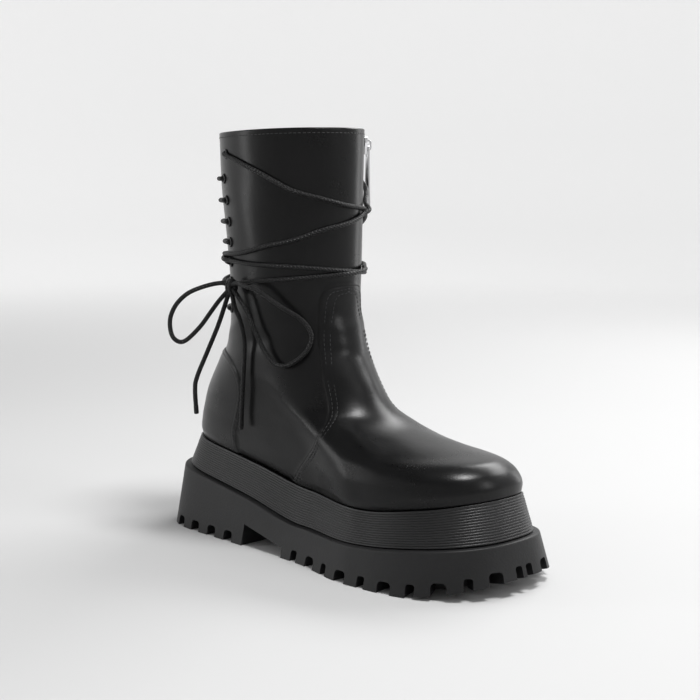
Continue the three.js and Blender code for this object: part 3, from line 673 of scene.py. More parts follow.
@dataclass(frozen=True)
class Seams:
    """The look of cut edges, each with a painted shadow at the foot of its overlay's step, and of the stitch
    furrows beside them, in millimetres from the edge.
    """

    edge_shift: float = 0.35
    edge_band: tuple[float, float] = (0.15, 0.75)
    # how much the colour darkens along a cut edge, a painted shadow of the overlay's step
    edge_painted_shadow: float = 0.7
    edge_roughness: float = 0.3
    edge_depth: float = 2.5
    furrow_band: tuple[float, float] = (0.1, 0.9)
    furrow_depth: float = 1.1

    def draw(self, sheet: NodeSheet, shade, rough, height) -> tuple:
        """Draws the edges and furrows from the distances kept on the skin, and darkens the colour along each
        cut edge as a painted shadow of the overlay's step.

        Args:
            sheet: the material's sheet.
            shade: the colour's factor.
            rough: the roughness.
            height: the height field.

        Returns:
            The three, changed at the edges.
        """
        for name in ("vamp_edge", "counter_edge"):
            away = sheet.add("ShaderNodeAttribute", attribute_name=name).outputs["Fac"]
            shifted = sheet.math("ABSOLUTE", sheet.math("ADD", away, self.edge_shift))
            # the band at each cut edge: it roughens and sinks the leather there, and darkens its colour as a
            # painted shadow
            cut = sheet.ramp(shifted, *self.edge_band, 1.0, 0.0)
            for inside in SEAM_ROWS:
                beside = sheet.math("ABSOLUTE", sheet.math("SUBTRACT", away, inside))
                furrow = sheet.ramp(beside, *self.furrow_band, 1.0, 0.0)
                height = sheet.math("MULTIPLY_ADD", furrow, -self.furrow_depth, height)
            # painted shadow of the overlay's step: the colour darkens along the cut edge
            shade = sheet.math("MULTIPLY", shade, sheet.math("MULTIPLY_ADD", cut, -self.edge_painted_shadow, 1.0))
            rough = sheet.math("MULTIPLY_ADD", cut, self.edge_roughness, rough)
            height = sheet.math("MULTIPLY_ADD", cut, -self.edge_depth, height)
        return shade, rough, height


@dataclass(frozen=True)
class Finish:
    """One finish: its colour, gloss and surface detail."""

    name: str
    color: tuple[float, float, float]
    roughness: float
    grain: Grain
    metallic: float = 0.0
    spread: float = 0.06
    bump: float = 0.1
    bump_height: float = 0.4
    specular: float = 0.5
    seams: Seams | None = None

    def make(self) -> bpy.types.Material:
        """Builds the material.

        Returns:
            The material, read from Object coordinates or the piece's UV map.
        """
        material, sheet, shader = open_material(self.name)
        where = sheet.add("ShaderNodeTexCoord").outputs["Object"]
        height = self.relief(sheet, where)
        wide = sheet.noise(where, *BROAD_NOISE)
        fine = sheet.noise(where, *FINE_NOISE)
        rough = sheet.math("MULTIPLY_ADD", sheet.math("SUBTRACT", wide, 0.5), 2 * self.spread, self.roughness)
        rough = sheet.math("MULTIPLY_ADD", sheet.math("SUBTRACT", fine, 0.5), self.spread, rough)
        shade = sheet.ramp(wide, *SHADE_RANGE)
        if self.seams:
            shade, rough, height = self.seams.draw(sheet, shade, rough, height)
        blend = {"Factor": 1.0, "A": (*self.color, 1), "B": shade}
        color = sheet.add("ShaderNodeMix", blend, data_type="RGBA", blend_type="MULTIPLY")
        relief = {"Strength": self.bump, "Distance": self.bump_height * MM, "Height": height}
        sheet.feed(shader, {
            "Metallic": self.metallic,
            "Specular IOR Level": self.specular,
            "Base Color": color.outputs["Result"],
            "Roughness": rough,
            "Normal": sheet.add("ShaderNodeBump", relief).outputs["Normal"],
        })
        return material

    def relief(self, sheet: NodeSheet, where) -> Socket:
        """The height field of the grain."""
        if self.grain is Grain.LEATHER:
            cells = sheet.add("ShaderNodeTexVoronoi", {"Vector": where, "Scale": 900.0}).outputs["Distance"]
            soft = sheet.noise(where, 120.0, 4.0)
            return sheet.math("MULTIPLY_ADD", soft, 1.4, sheet.math("MULTIPLY", cells, 0.5))
        if self.grain is Grain.BRAID:
            return self.braid(sheet)
        if self.grain is Grain.CLOTH:
            weave = {"Vector": where, "Scale": 500.0}
            wave = sheet.add("ShaderNodeTexWave", weave, wave_type="BANDS", bands_direction="DIAGONAL")
            return wave.outputs["Fac"]
        if self.grain is Grain.METAL:
            return sheet.noise(where, 900.0, 2.0)
        return sheet.math("ADD", sheet.noise(where, 650.0, 5.0), sheet.noise(where, 60.0, 2.0))

    @staticmethod
    def braid(sheet: NodeSheet, strands: float = 4.0, slant: float = 0.42) -> Socket:
        """Crossing strands on a cord, from its UV map.

        Args:
            sheet: the material's sheet.
            strands: how many run each way.
            slant: how many strands are crossed in a millimetre of cord.

        Returns:
            The height field.
        """
        uv = sheet.add("ShaderNodeUVMap", uv_map="UVMap").outputs[0]
        apart = sheet.add("ShaderNodeSeparateXYZ", {0: uv}).outputs
        waves = []
        for way in (1.0, -1.0):
            leaning = sheet.math("MULTIPLY_ADD", apart[1], way * slant, 0.0)
            turned = sheet.math("ADD", sheet.math("MULTIPLY", apart[0], strands), leaning)
            waves.append(sheet.math("SINE", sheet.math("MULTIPLY", turned, 2 * math.pi)))
        return sheet.math("MAXIMUM", *waves)


@dataclass(frozen=True)
class Finishes:
    """Every finish of the boot."""

    leather: Finish = Finish(
        "smooth_black_leather", (0.003, 0.003, 0.0032), 0.29, Grain.LEATHER,
        spread=0.05, bump=0.12, specular=0.25, seams=Seams(),
    )
    lining: Finish = Finish("black_lining", (0.018, 0.017, 0.017), 0.85, Grain.CLOTH, bump=0.25)
    midsole: Finish = Finish(
        "charcoal_midsole_rubber", (0.010, 0.010, 0.0105), 0.42, Grain.RUBBER, bump=0.2, specular=0.4,
    )
    outsole: Finish = Finish(
        "charcoal_outsole_rubber", (0.011, 0.011, 0.0115), 0.5, Grain.RUBBER, bump=0.28, specular=0.3,
    )
    lace: Finish = Finish(
        "black_waxed_braid", (0.004, 0.004, 0.0043), 0.5, Grain.BRAID, bump=0.8, specular=0.35,
    )
    thread: Finish = Finish("black_thread", (0.02, 0.02, 0.021), 0.55, Grain.RUBBER, bump=0.2)
    eyelet: Finish = Finish("black_lacquered_eyelet", (0.012, 0.012, 0.013), 0.28, Grain.METAL, bump=0.03)
    silver: Finish = Finish(
        "polished_zip_metal", (0.78, 0.78, 0.79), 0.2, Grain.METAL, metallic=1.0, spread=0.05, bump=0.03,
    )
    tape: Finish = Finish("black_zip_tape", (0.01, 0.01, 0.011), 0.8, Grain.CLOTH, bump=0.5)


class Stitcher:
    """Rows of thread made by Geometry Nodes along lines on the leather."""

    def __init__(self, material: bpy.types.Material) -> None:
        """Builds the group that lays rounded stitches end to end.

        Args:
            material: the thread.
        """
        sheet = GroupSheet("stitch_row", {"Pitch": 3.2, "Length": 2.4, "Radius": 0.26})
        given = sheet.given
        bead = sheet.add("GeometryNodeMeshUVSphere", {"Segments": 6, "Rings": 5, "Radius": given["Radius"]})
        ratio = sheet.math("DIVIDE", given["Length"], sheet.math("MULTIPLY", given["Radius"], 2.0))
        along = {"Vector": sheet.tangent()}
        copies = {
            "Points": sheet.even_points(),
            "Instance": bead.outputs["Mesh"],
            "Rotation": sheet.add("FunctionNodeAlignRotationToVector", along, axis="Z").outputs[0],
            "Scale": sheet.add("ShaderNodeCombineXYZ", {0: 1.0, 1: 1.0, 2: ratio}).outputs[0],
        }
        self.group = sheet.close(copies, material)

    def sew(self, name: str, lines: list, pitch: float, length: float, radius: float) -> None:
        """Sews rows of stitches as one piece of the upper.

        Args:
            name: the piece's name.
            lines: each row's points, millimetres.
            pitch: from stitch to stitch.
            length: each stitch's length.
            radius: the thread's radius.
        """
        edges, start = [], 0
        for line in lines:
            edges += [(start + i, start + i + 1) for i in range(len(line) - 1)]
            start += len(line)
        lengths = {"Pitch": pitch, "Length": length, "Radius": radius}
        obj = grow(name, np.vstack(lines), edges, self.group, lengths)
        obj.data.polygons.foreach_set("use_smooth", np.ones(len(obj.data.polygons), bool))
        settle(obj, BOOT, "upper_leather")


@dataclass
class Upper:
    """The leather upper: shaft, vamp and counter, with its lining and stitches."""

    overlay: float = 0.9
    overlay_bevel: float = 0.7
    # how far inside a panel the lining and the collar count as lying
    off_panel: float = -50.0
    stitch_lift: float = 0.1
    low_counter_stitch: float = 62.0
    high_vamp_stitch: float = 0.625
    front_vamp_stitch: float = 40.0
    ring: int = 288
    rows: int = 168
    inner_rows: int = 60
    collar_stitch_drop: float = 3.4
    collar_dip: float = 2.2
    # the dip grows from this share of the collar height, and between these places towards the back
    dip_from: float = 0.8
    dip_span: tuple = (-5.0, 95.0)
    # along as a share of half the upper's length, up of the collar height
    vamp_edge: tuple = (
        (0.06, 0.633), (-0.012, 0.629), (-0.042, 0.608), (-0.046, 0.555), (-0.025, 0.488), (0.018, 0.42),
        (0.075, 0.36), (0.112, 0.318), (0.085, 0.28), (0.0, 0.238), (-0.08, 0.2), (-0.2, 0.14),
    )
    counter_edge: tuple = (
        (-1.1, 0.462), (-0.7, 0.455), (-0.55, 0.43), (-0.49, 0.39), (-0.488, 0.35), (-0.53, 0.3),
        (-0.575, 0.25), (-0.59, 0.16),
    )
    # Soft folds of the ankle: along, up, reach across, depth (a trough is negative), slant
    folds: tuple = (
        (0.1, 0.47, 13.0, -0.9, 0.3),
        (0.06, 0.53, 12.0, 0.7, 0.2),
        (0.22, 0.39, 16.0, 0.6, 0.5),
        (-0.35, 0.5, 15.0, -0.7, -0.2),
        (-0.6, 0.52, 12.0, 0.5, -0.4),
        (-0.3, 0.4, 18.0, 0.5, 0.3),
        (0.38, 0.31, 16.0, -0.5, 0.6),
    )

    def edge_line(self, edge: tuple) -> np.ndarray:
        """A panel's edge seen from the side, as points in millimetres."""
        points = np.array(edge) * [FORM.half_length, FORM.collar_height]
        return spline(points, 160)

    def edge_distance(self, points: np.ndarray, edge: tuple, toe_side: bool) -> np.ndarray:
        """How far points lie inside a panel's edge, seen from the side.

        Args:
            points: points of the skin.
            edge: the panel's edge.
            toe_side: whether the panel lies towards the toe.

        Returns:
            Distances in millimetres, positive inside.
        """
        line = self.edge_line(edge)
        flat = points.reshape(-1, 3)[:, [0, 2]]
        best = np.full(len(flat), 1e9)
        for a, b in zip(line[:-1], line[1:]):
            along = b - a
            share = np.clip(((flat - a) @ along) / (along @ along + 1e-12), 0, 1)
            best = np.minimum(best, np.linalg.norm(flat - a - share[:, None] * along, axis=1))
        order = np.argsort(line[:, 1])
        edge_x = np.interp(flat[:, 1], line[order, 1], line[order, 0])
        top = line[:, 1].max()
        inside = (flat[:, 0] > edge_x) if toe_side else (flat[:, 0] < edge_x)
        inside &= flat[:, 1] < top
        return np.where(inside, best, -best).reshape(points.shape[:-1])

    def relief(self, points: np.ndarray) -> np.ndarray:
        """Soft folds and the leather's slight unevenness, in millimetres."""
        x, y, z = points[..., 0], points[..., 1], points[..., 2]
        out = 0.10 * np.sin(x / 11.0 + 0.7) * np.sin(z / 13.0 + y / 17.0)
        out += 0.07 * np.sin(x / 5.3 + z / 7.1) * np.sin(y / 6.1 + 1.3)
        for along, up, reach, depth, slant in self.folds:
            dx = x - along * FORM.half_length
            dz = z - up * FORM.collar_height
            across = dz + slant * dx
            out += depth * np.exp(-((across / (0.34 * reach)) ** 2) - (dx / (1.6 * reach)) ** 2)
        return out

    def build(self, finishes: Paints, stitcher: Stitcher) -> None:
        """Makes the shell and its stitch rows.

        Args:
            finishes: the materials by name.
            stitcher: what sews the rows.
        """
        turns = circle(self.ring)
        rises = np.linspace(0, 1, self.rows)
        turn, rise = np.meshgrid(turns, rises)
        base = FORM.skin(turn, rise)
        normal = FORM.skin_normal(turn, rise)
        vamp = self.edge_distance(base, self.vamp_edge, True)
        counter = self.edge_distance(base, self.counter_edge, False)
        calm = smooth(rise, 0, 0.06) * (1 - smooth(rise, 0.94, 1))
        bevel = self.overlay_bevel
        lift = self.overlay * (smooth(vamp, -bevel, bevel) + smooth(counter, -bevel, bevel))
        lift = lift + self.relief(base) * calm
        outer = base + normal * lift[..., None]
        half_wall = FORM.wall / 2
        outer[..., 2] = np.minimum(outer[..., 2], FORM.collar_height - half_wall)
        collar = []
        for angle in np.linspace(0, np.pi, 8)[1:-1]:
            inwards = np.full(self.ring, -half_wall * (1 - math.cos(angle)))
            ring = FORM.lifted(turns, np.ones(self.ring), inwards)
            collar.append(ring + [0, 0, half_wall * (math.sin(angle) - 1)])
        inner_rise = np.linspace(1, 0, self.inner_rows)
        inner = [
            FORM.lifted(turns, np.full(self.ring, r), np.full(self.ring, -FORM.wall)) for r in inner_rise
        ]
        inner[0][:, 2] -= half_wall
        stack = self.dipped(np.concatenate([outer, np.array(collar), np.array(inner)]))
        count = len(stack)
        faces = ring_faces(count, self.ring, closed=True)
        material = np.zeros(len(faces), int)
        material[(self.rows + len(collar) + 2) * self.ring:] = 1
        outside = np.full((count - self.rows, self.ring), self.off_panel)
        shell = make_object(
            "upper_shell",
            stack.reshape(-1, 3),
            faces,
            [finishes["leather"], finishes["lining"]],
            face_material=material,
            values={
                "vamp_edge": np.concatenate([vamp, outside]),
                "counter_edge": np.concatenate([counter, outside]),
            },
        )
        settle(shell, BOOT, "upper_leather", "upper")
        self.sew_rows(stitcher)

    def dipped(self, points: np.ndarray) -> np.ndarray:
        """Lowers the collar a little towards the back."""
        high = smooth(points[..., 2], self.dip_from * FORM.collar_height, FORM.collar_height)
        back = smooth(-points[..., 0], *self.dip_span)
        out = points.copy()
        out[..., 2] -= self.collar_dip * high * back
        return out

    def on_skin(self, line: np.ndarray, inner: bool, lift: float) -> np.ndarray:
        """Carries a line drawn from the side onto the skin of one side."""
        turn = FORM.turn_at_x(line[:, 0], line[:, 1], inner)
        rise = FORM.rise_at(turn, line[:, 1])
        return FORM.lifted(turn, rise, np.full(len(line), lift))

    def sew_rows(self, stitcher: Stitcher) -> None:
        """Sews the collar, the vamp's edge and the counter's edge."""
        turns = np.linspace(0, 2 * np.pi, 241)
        height = FORM.collar_height - self.collar_stitch_drop
        rise = FORM.rise_at(turns, np.full(len(turns), height))
        collar = FORM.lifted(turns, rise, np.full(len(turns), 0.12))
        stitcher.sew("collar_stitches", [self.dipped(collar)], pitch=3.0, length=2.3, radius=0.24)
        top, bottom = self.high_vamp_stitch * FORM.collar_height, float(FORM.feather(np.array(0.45))) + 3
        rows = []
        for inside in SEAM_ROWS:
            line = self.beside(self.vamp_edge, inside)
            kept = line[(line[:, 1] < top) & (line[:, 0] < self.front_vamp_stitch) & (line[:, 1] > bottom)]
            rows += self.both_sides(kept)
        panel = {"pitch": 2.9, "length": 2.2, "radius": 0.22}
        stitcher.sew("vamp_stitches", rows, **panel)
        line = self.beside(self.counter_edge, -SEAM_ROWS[0])
        kept = line[(line[:, 0] > -0.8 * FORM.half_length) & (line[:, 1] > self.low_counter_stitch)]
        stitcher.sew("counter_stitches", self.both_sides(kept), **panel)

    def beside(self, edge: tuple, away: float) -> np.ndarray:
        """A panel's edge moved sideways, seen from the side."""
        line = self.edge_line(edge)
        way = unit(np.gradient(line, axis=0))
        return line + np.stack([-way[:, 1], way[:, 0]], axis=1) * away

    def both_sides(self, line: np.ndarray) -> list[np.ndarray]:
        """A stitch line on the outer side and on the inner."""
        return [self.on_skin(line[::3], inner, self.overlay + self.stitch_lift) for inner in (False, True)]


@dataclass
class Midsole:
    """The ribbed wedge between the outsole and the upper."""

    base_inset: float = 9.0
    top_inset: float = 15.2
    ribs: int = 15
    rib_depth: float = 0.55
    ring: int = 280
    rows_per_rib: int = 7
    groove_power: float = 2.2
    plain_from: float = 0.955
    lip: float = 2.6
    lip_turns: tuple = (0.35, 0.7, 1.0)
    lip_inset: float = 0.4
    lip_inwards: float = 0.4
    lip_drop: float = 0.12
    lip_rise: float = 0.05

    def build(self, finishes: Paints) -> None:
        """Makes the wedge with its ribs and its smooth lip under the upper."""
        turns = circle(self.ring)
        along, _ = FORM.station(turns)
        low, high = FORM.ledge(along) + FORM.gap, FORM.feather(along)
        rows = self.ribs * self.rows_per_rib
        stack = []
        for k in range(rows + 1):
            up = k / rows
            phase = (up * self.ribs) % 1.0
            groove = self.rib_depth * (1 - abs(math.sin(math.pi * phase))) ** self.groove_power
            if up > self.plain_from:
                groove = 0.0
            inset = self.base_inset + (self.top_inset - self.base_inset) * up + groove
            stack.append(FORM.sole_point(turns, inset, low + (high - low) * up))
        for turned in self.lip_turns:
            angle = turned * math.pi / 2
            inset = self.top_inset + self.lip * self.lip_inwards * math.sin(angle)
            drop = self.lip * self.lip_drop * (1 - math.cos(angle))
            stack.append(FORM.sole_point(turns, inset + self.lip_inset, high + self.lip_rise - drop))
        body = make_object("midsole_wedge", *layered(stack), [finishes["midsole"]])
        settle(body, BOOT, "midsole_rubber", "midsole")


@dataclass
class Outsole:
    """The lugged outsole with its arch, heel block and ledge."""

    ring: int = 240
    notch_height: float = 7.0
    notch_depth: float = 20.0
    narrow: float = 5.6
    wide: float = 9.4
    heel_width: float = 8.4
    heel_start: float = 15.5
    heel_pitch: float = 18.0
    heel_count: int = 6
    fore_start: float = 172.4
    fore_pitch: float = 17.6
    fore_count: int = 11
    breast: float = -0.182
    roof_start: float = -0.178
    roof_end: float = -0.045
    front: float = -0.036
    roof_high: float = 14.0
    roof_low: float = 6.0
    edge_round: float = 0.7
    groove_width: float = 2.2
    groove_depth: float = 1.6
    groove_pitch: float = 8.8
    groove_half: float = 27.0
    groove_spans: tuple = ((-122.0, -60.0), (0.0, 118.0))
    notch_corner: float = 0.28
    arch_half: float = 90.0
    edge_angle: float = 42.0
    # share of the ledge's inset, share of the height
    levels: tuple = (
        (0.0, 0.0), (0.25, 0.25), (0.5, 0.5), (0.75, 0.75), (0.93, 0.93), (0.955, 0.96), (1.0, 0.982),
        (1.08, 0.994), (1.2, 1.0),
    )

    def outline(self, run: float, side: int) -> tuple[np.ndarray, np.ndarray, float]:
        """Where the outline has run a length from the heel's middle.

        Args:
            run: the length.
            side: -1 on the outer side, 1 on the inner.

        Returns:
            The point, the direction along the outline, counterclockwise, and the share of the length.
        """
        turns = np.linspace(0, np.pi, 1441)
        turns = turns if side < 0 else 2 * np.pi - turns
        line = FORM.sole_point(turns, 0.0, np.zeros(len(turns)))
        length = run_along(line)
        k = int(np.clip(np.searchsorted(length, run), 1, len(turns) - 2))
        way = (line[k + 1] - line[k - 1]) * (1 if side < 0 else -1)
        along, _ = FORM.station(turns[k])
        return line[k], way / np.linalg.norm(way), float(along)

    def notch(self, run: float, side: int, width: float) -> Solid:
        """One notch's cutter, a tunnel with a rounded roof across the outline."""
        point, way, along = self.outline(run, side)
        out = np.array([way[1], -way[0], 0.0])
        half, top, corner = width / 2, self.notch_height, width * self.notch_corner
        arc = np.linspace(0, np.pi / 2, 5)
        right = [(half - corner + corner * math.cos(a), top - corner + corner * math.sin(a)) for a in arc]
        left = [(-x, z) for x, z in reversed(right)]
        shape = [(-half, CUTTER_BOTTOM), (half, CUTTER_BOTTOM), *right, *left]
        lift = float(FORM.floor(np.array(along)))
        near, far = (
            [point + way * x + out * depth + [0, 0, z + lift] for x, z in shape]
            for depth in (-self.notch_depth, self.notch_depth)
        )
        return bar(near, far)

    def grooves(self) -> list[Solid]:
        """Cutters for the fine grooves across the underside of the heel and the forefoot."""
        cutters = []
        for first, last in self.groove_spans:
            for x in np.arange(first, last, self.groove_pitch):
                along = np.array((x + FORM.sole_length / 2) / FORM.sole_length)
                top = float(FORM.floor(along)) + self.groove_depth
                middle, half = float(FORM.middle(along)), self.groove_width / 2
                shape = [
                    (x - half, CUTTER_BOTTOM), (x + half, CUTTER_BOTTOM), (x + half, top), (x - half, top),
                ]
                cutters.append(self.across(shape, middle, self.groove_half))
        return cutters

    def arch(self) -> Solid:
        """The arch's cutter, right across the sole."""
        length = FORM.sole_length
        shape = [
            (self.breast * length, CUTTER_BOTTOM), (self.front * length, CUTTER_BOTTOM),
            (self.roof_end * length, self.roof_low), (self.roof_start * length, self.roof_high),
        ]
        return self.across(shape, 0.0, self.arch_half)

    @staticmethod
    def across(shape: list, middle: float, half: float) -> Solid:
        """A cutter across the sole, from its shape seen from the side."""
        near, far = ([(x, middle + y, z) for x, z in shape] for y in (-half, half))
        return bar(near, far)

    def body(self) -> tuple[np.ndarray, list]:
        """The uncut outsole."""
        turns = circle(self.ring)
        along, _ = FORM.station(turns)
        low, high = FORM.floor(along), FORM.ledge(along)
        stack = [
            FORM.sole_point(turns, FORM.ledge_inset * share, low + (high - low) * up)
            for share, up in self.levels
        ]
        return layered(stack)

    def build(self, finishes: Paints) -> None:
        """Cuts the arch and the lugs, and rounds every edge a little."""
        points, faces = self.body()
        sole = make_object("outsole_lugged", points, faces, [finishes["outsole"]])
        cutters = [self.arch(), *self.grooves()]
        for side in (-1, 1):
            for i in range(self.heel_count):
                cutters.append(self.notch(self.heel_start + i * self.heel_pitch, side, self.heel_width))
            for i in range(self.fore_count):
                width = self.wide if i % 2 else self.narrow
                cutters.append(self.notch(self.fore_start + i * self.fore_pitch, side, width))
        verts, polygons, _ = join_parts(cutters)
        tool = make_object("tread_cutter", verts, polygons, [])
        face_outwards(tool)
        cut = sole.modifiers.new("cut", "BOOLEAN")
        cut.operation = "DIFFERENCE"
        cut.solver = "EXACT"
        cut.use_self = True
        cut.object = tool
        apply_modifiers(sole)
        bpy.data.objects.remove(tool)
        round_edges(sole, self.edge_round, 2, angle_limit=math.radians(self.edge_angle))
        settle(sole, BOOT, "outsole_rubber", "outsole")


@dataclass
class Eyelets:
    """Two columns of eyelets at the back of the shaft."""

    ring_radius: float = 2.6
    lip_radius: float = 0.78
    lift: float = 0.35
    # turn in degrees from the back, up as a share of the collar height, from the top
    rows: tuple = (
        (66, 0.94), (59, 0.882), (62, 0.83), (63, 0.779), (62, 0.73), (58, 0.681), (54, 0.633), (51, 0.567),
    )

    def place(self, row: int, inner: bool, lift: float) -> np.ndarray:
        """A point on an eyelet's axis, off the skin by a lift."""
        degrees, up = self.rows[row]
        turn = math.radians(-degrees if inner else degrees)
        rise = FORM.rise_at(np.array(turn), np.array(up * FORM.collar_height))
        return FORM.lifted(np.array(turn), rise, np.array(lift))

    def group(self, lengths: dict[str, float], material: bpy.types.Material) -> bpy.types.NodeTree:
        """A group that sets a rolled ring on every point, facing along its kept direction."""
        sheet = GroupSheet("eyelet_columns", lengths)
        ring, lip = (
            sheet.add("GeometryNodeCurvePrimitiveCircle", {"Resolution": sides, "Radius": sheet.given[label]})
            for label, sides in zip(lengths, (28, 12))
        )
        profile = {"Curve": ring.outputs[0], "Profile Curve": lip.outputs[0]}
        copies = {
            "Points": sheet.given["Geometry"],
            "Instance": sheet.add("GeometryNodeCurveToMesh", profile).outputs[0],
            "Rotation": sheet.outward(),
        }
        return sheet.close(copies, material, rounded=True)

    def build(self, finishes: Paints) -> None:
        """Makes all eyelets as one piece."""
        places, ways, nodes = [], [], []
        for inner in (False, True):
            for row in range(len(self.rows)):
                seat, tip = self.place(row, inner, self.lift), self.place(row, inner, self.lift + 1)
                places.append(seat)
                ways.append(tip - seat)
                nodes.append(f"eyelet_{'inner' if inner else 'outer'}_{row + 1}")
        lengths = {"Ring radius": self.ring_radius, "Lip radius": self.lip_radius}
        group = self.group(lengths, finishes["eyelet"])
        obj = grow("eyelet_rings", np.array(places), [], group, lengths, outward=np.array(ways))
        settle(obj, BOOT, "eyelet_metal", *nodes)


@dataclass
class Lace:
    """The waxed lace: bars across the back, two strands round the shaft, the knot and the bow."""

    eyelets: Eyelets
    diameter: float = 3.0
    zip_turn: float = 238.0
    rest_lift: float = 1.55
    over_zip_lift: float = 3.35
    # crossing lace: the reach as a share of the diameter, and how much higher it rides than it must
    crossing_reach: float = 0.98
    crossing_rise: float = 1.1
    free_start: int = 16
    blur: int = 17
    shaft_middle: tuple = (-52.0, 2.0)
    # Each strand: turn in degrees, up as a share of the collar height
    strand_outer: tuple = (
        (70, 0.94), (88, 0.919), (109, 0.891), (131, 0.855), (154, 0.836), (180, 0.819), (206, 0.812),
        (222, 0.802), (240, 0.776), (262, 0.746), (290, 0.718), (330, 0.7), (360, 0.693), (400, 0.69),
        (449, 0.683), (490, 0.679), (540, 0.667), (590, 0.656), (632, 0.646), (660, 0.642), (700, 0.646),
        (724, 0.645), (744, 0.637), (766, 0.628),
    )
    strand_inner: tuple = (
        (70, 0.94), (88, 0.922), (109, 0.894), (131, 0.85), (146, 0.814), (160, 0.797), (180, 0.781),
        (206, 0.765), (230, 0.741), (251, 0.727), (272, 0.711), (290, 0.703), (330, 0.698), (360, 0.696),
        (400, 0.692), (449, 0.681), (490, 0.675), (540, 0.663), (590, 0.652), (632, 0.64), (640, 0.637),
    )
    knot_centre: tuple = (-63.9, -40.6, 169.6)
    knot_axes: tuple = ((0.86, -0.2, 0.1), (-0.3, -0.95, 0.0), (0.0, 0.0, 1.0))
    # the knot's bands: half height, half depth, then each one's start and shift
    knot_band: tuple = (4.3, 2.5)
    knot_turns: tuple = ((-0.5, -0.7), (2.4, 1.3))
    # the knot's core: half height, radius
    knot_core: tuple = (3.8, 2.2)
    loop_back: tuple = (
        (-66.2, -40.6, 170.6), (-71.5, -42.5, 172.2), (-79.1, -49.3, 170.3), (-87.7, -57, 165.7),
        (-93.5, -62.1, 158.9), (-96.7, -64.9, 151), (-97.3, -65.5, 143.5), (-95.9, -64.3, 136.4),
        (-92.4, -61.2, 133.2),
        (-88.4, -57.8, 135.3), (-82.3, -52.2, 143.5), (-77.3, -47.7, 152.6), (-73.6, -45, 158.8),
        (-69.6, -42.8, 164), (-65.6, -41, 168.4),
    )
    end_back: tuple = (
        (-65, -40.6, 168), (-67.2, -41.4, 163), (-69.6, -42.8, 155), (-73.2, -45, 143.5), (-78.9, -49.2, 127),
        (-84.1, -53.8, 110.5), (-85.3, -54.9, 101.9), (-84.8, -54.4, 85.3),
    )
    loop_front: tuple = (
        (-63.4, -41.2, 170.6), (-58.6, -42.9, 172.4), (-52.5, -43.9, 173), (-45, -45.6, 171.8),
        (-35, -44, 169.5), (-20.1, -37, 159.6), (-11.1, -29.5, 152.5), (-6.3, -26, 145.9),
        (-4.6, -25.6, 139.6), (-6.1, -28.2, 132.2),
        (-11.2, -32.4, 125.7), (-18.5, -35.9, 122), (-26.3, -37.6, 122.9), (-33.9, -38.8, 129.8),
        (-41.8, -40, 142.7), (-48.8, -41.8, 156.5), (-53.8, -43.4, 163.9),
        (-58.6, -42.6, 167.6), (-63.2, -41.2, 169.4),
    )
    end_front: tuple = (
        (-63.6, -40.6, 168), (-62.4, -41, 163), (-59.4, -41.4, 156), (-55.6, -40.6, 148.4),
        (-53.2, -39.4, 134.4), (-54.4, -39.2, 116), (-57, -38.4, 96.5), (-60.5, -36.6, 75.9),
    )

    def lift_at(self, degrees: np.ndarray) -> np.ndarray:
        """How far a strand's middle stands off the leather."""
        round_ = np.mod(degrees, 360)
        from_zip = np.abs(round_ - self.zip_turn)
        return self.rest_lift + (self.over_zip_lift - self.rest_lift) * (1 - smooth(from_zip, 8, 18))

    def strand_line(self, mirrored: bool) -> np.ndarray:
        """One strand's middle line, from inside its top eyelet round the shaft to the knot."""
        stations = Table(self.strand_inner if mirrored else self.strand_outer)
        degrees = np.linspace(stations.xs[0] + 6, stations.xs[-1], 420)
        up = stations.read(degrees)[:, 0]
        placed = -degrees if mirrored else degrees
        turn = np.radians(placed)
        rise = FORM.rise_at(turn, up * FORM.collar_height)
        line = FORM.lifted(turn, rise, self.lift_at(placed))
        start = [self.eyelets.place(0, mirrored, lift) for lift in (-5.5, -2.0, 1.4)]
        return spline(np.vstack([start, line[4::7], line[-1:]]), 820)

    def over(self, line: np.ndarray, under: np.ndarray) -> np.ndarray:
        """Raises a strand where it crosses other lace, so that it rides over it."""
        away = np.linalg.norm(line[:, None] - under[None], axis=2).min(axis=1)
        reach = self.diameter * self.crossing_reach
        raised = np.sqrt(np.maximum(0, reach**2 - away**2))
        raised[:self.free_start] = 0
        window = np.hanning(self.blur)
        raised = np.convolve(raised, window / window.sum(), mode="same") * self.crossing_rise
        out = line.copy()
        out[:, :2] += unit(out[:, :2] - np.array(self.shaft_middle)) * raised[:, None]
        return out

    def bar_line(self, row: int) -> np.ndarray:
        """A bar's middle line, out of one eyelet, across the back and into the other."""
        degrees, up = self.eyelets.rows[row]
        lift = self.rest_lift
        turn = np.radians(np.linspace(degrees - 9, -(degrees - 9), 26))
        rise = FORM.rise_at(turn, np.full(len(turn), up * FORM.collar_height))
        middle = FORM.lifted(turn, rise, np.full(len(turn), lift))
        first = [self.eyelets.place(row, False, d) for d in (-5.0, -2.0, 0.9, 1.7)]
        last = [self.eyelets.place(row, True, d) for d in (1.7, 0.9, -2.0, -5.0)]
        return spline(np.vstack([first, middle, last]), 120)

    def inner_run(self, row: int, inner: bool) -> np.ndarray:
        """The lace inside the shaft between two eyelets of one column."""
        depth = -(FORM.wall + 0.3 + self.diameter / 2)
        a, b = self.eyelets.place(row, inner, depth), self.eyelets.place(row + 1, inner, depth)
        return np.linspace(a, b, 14)

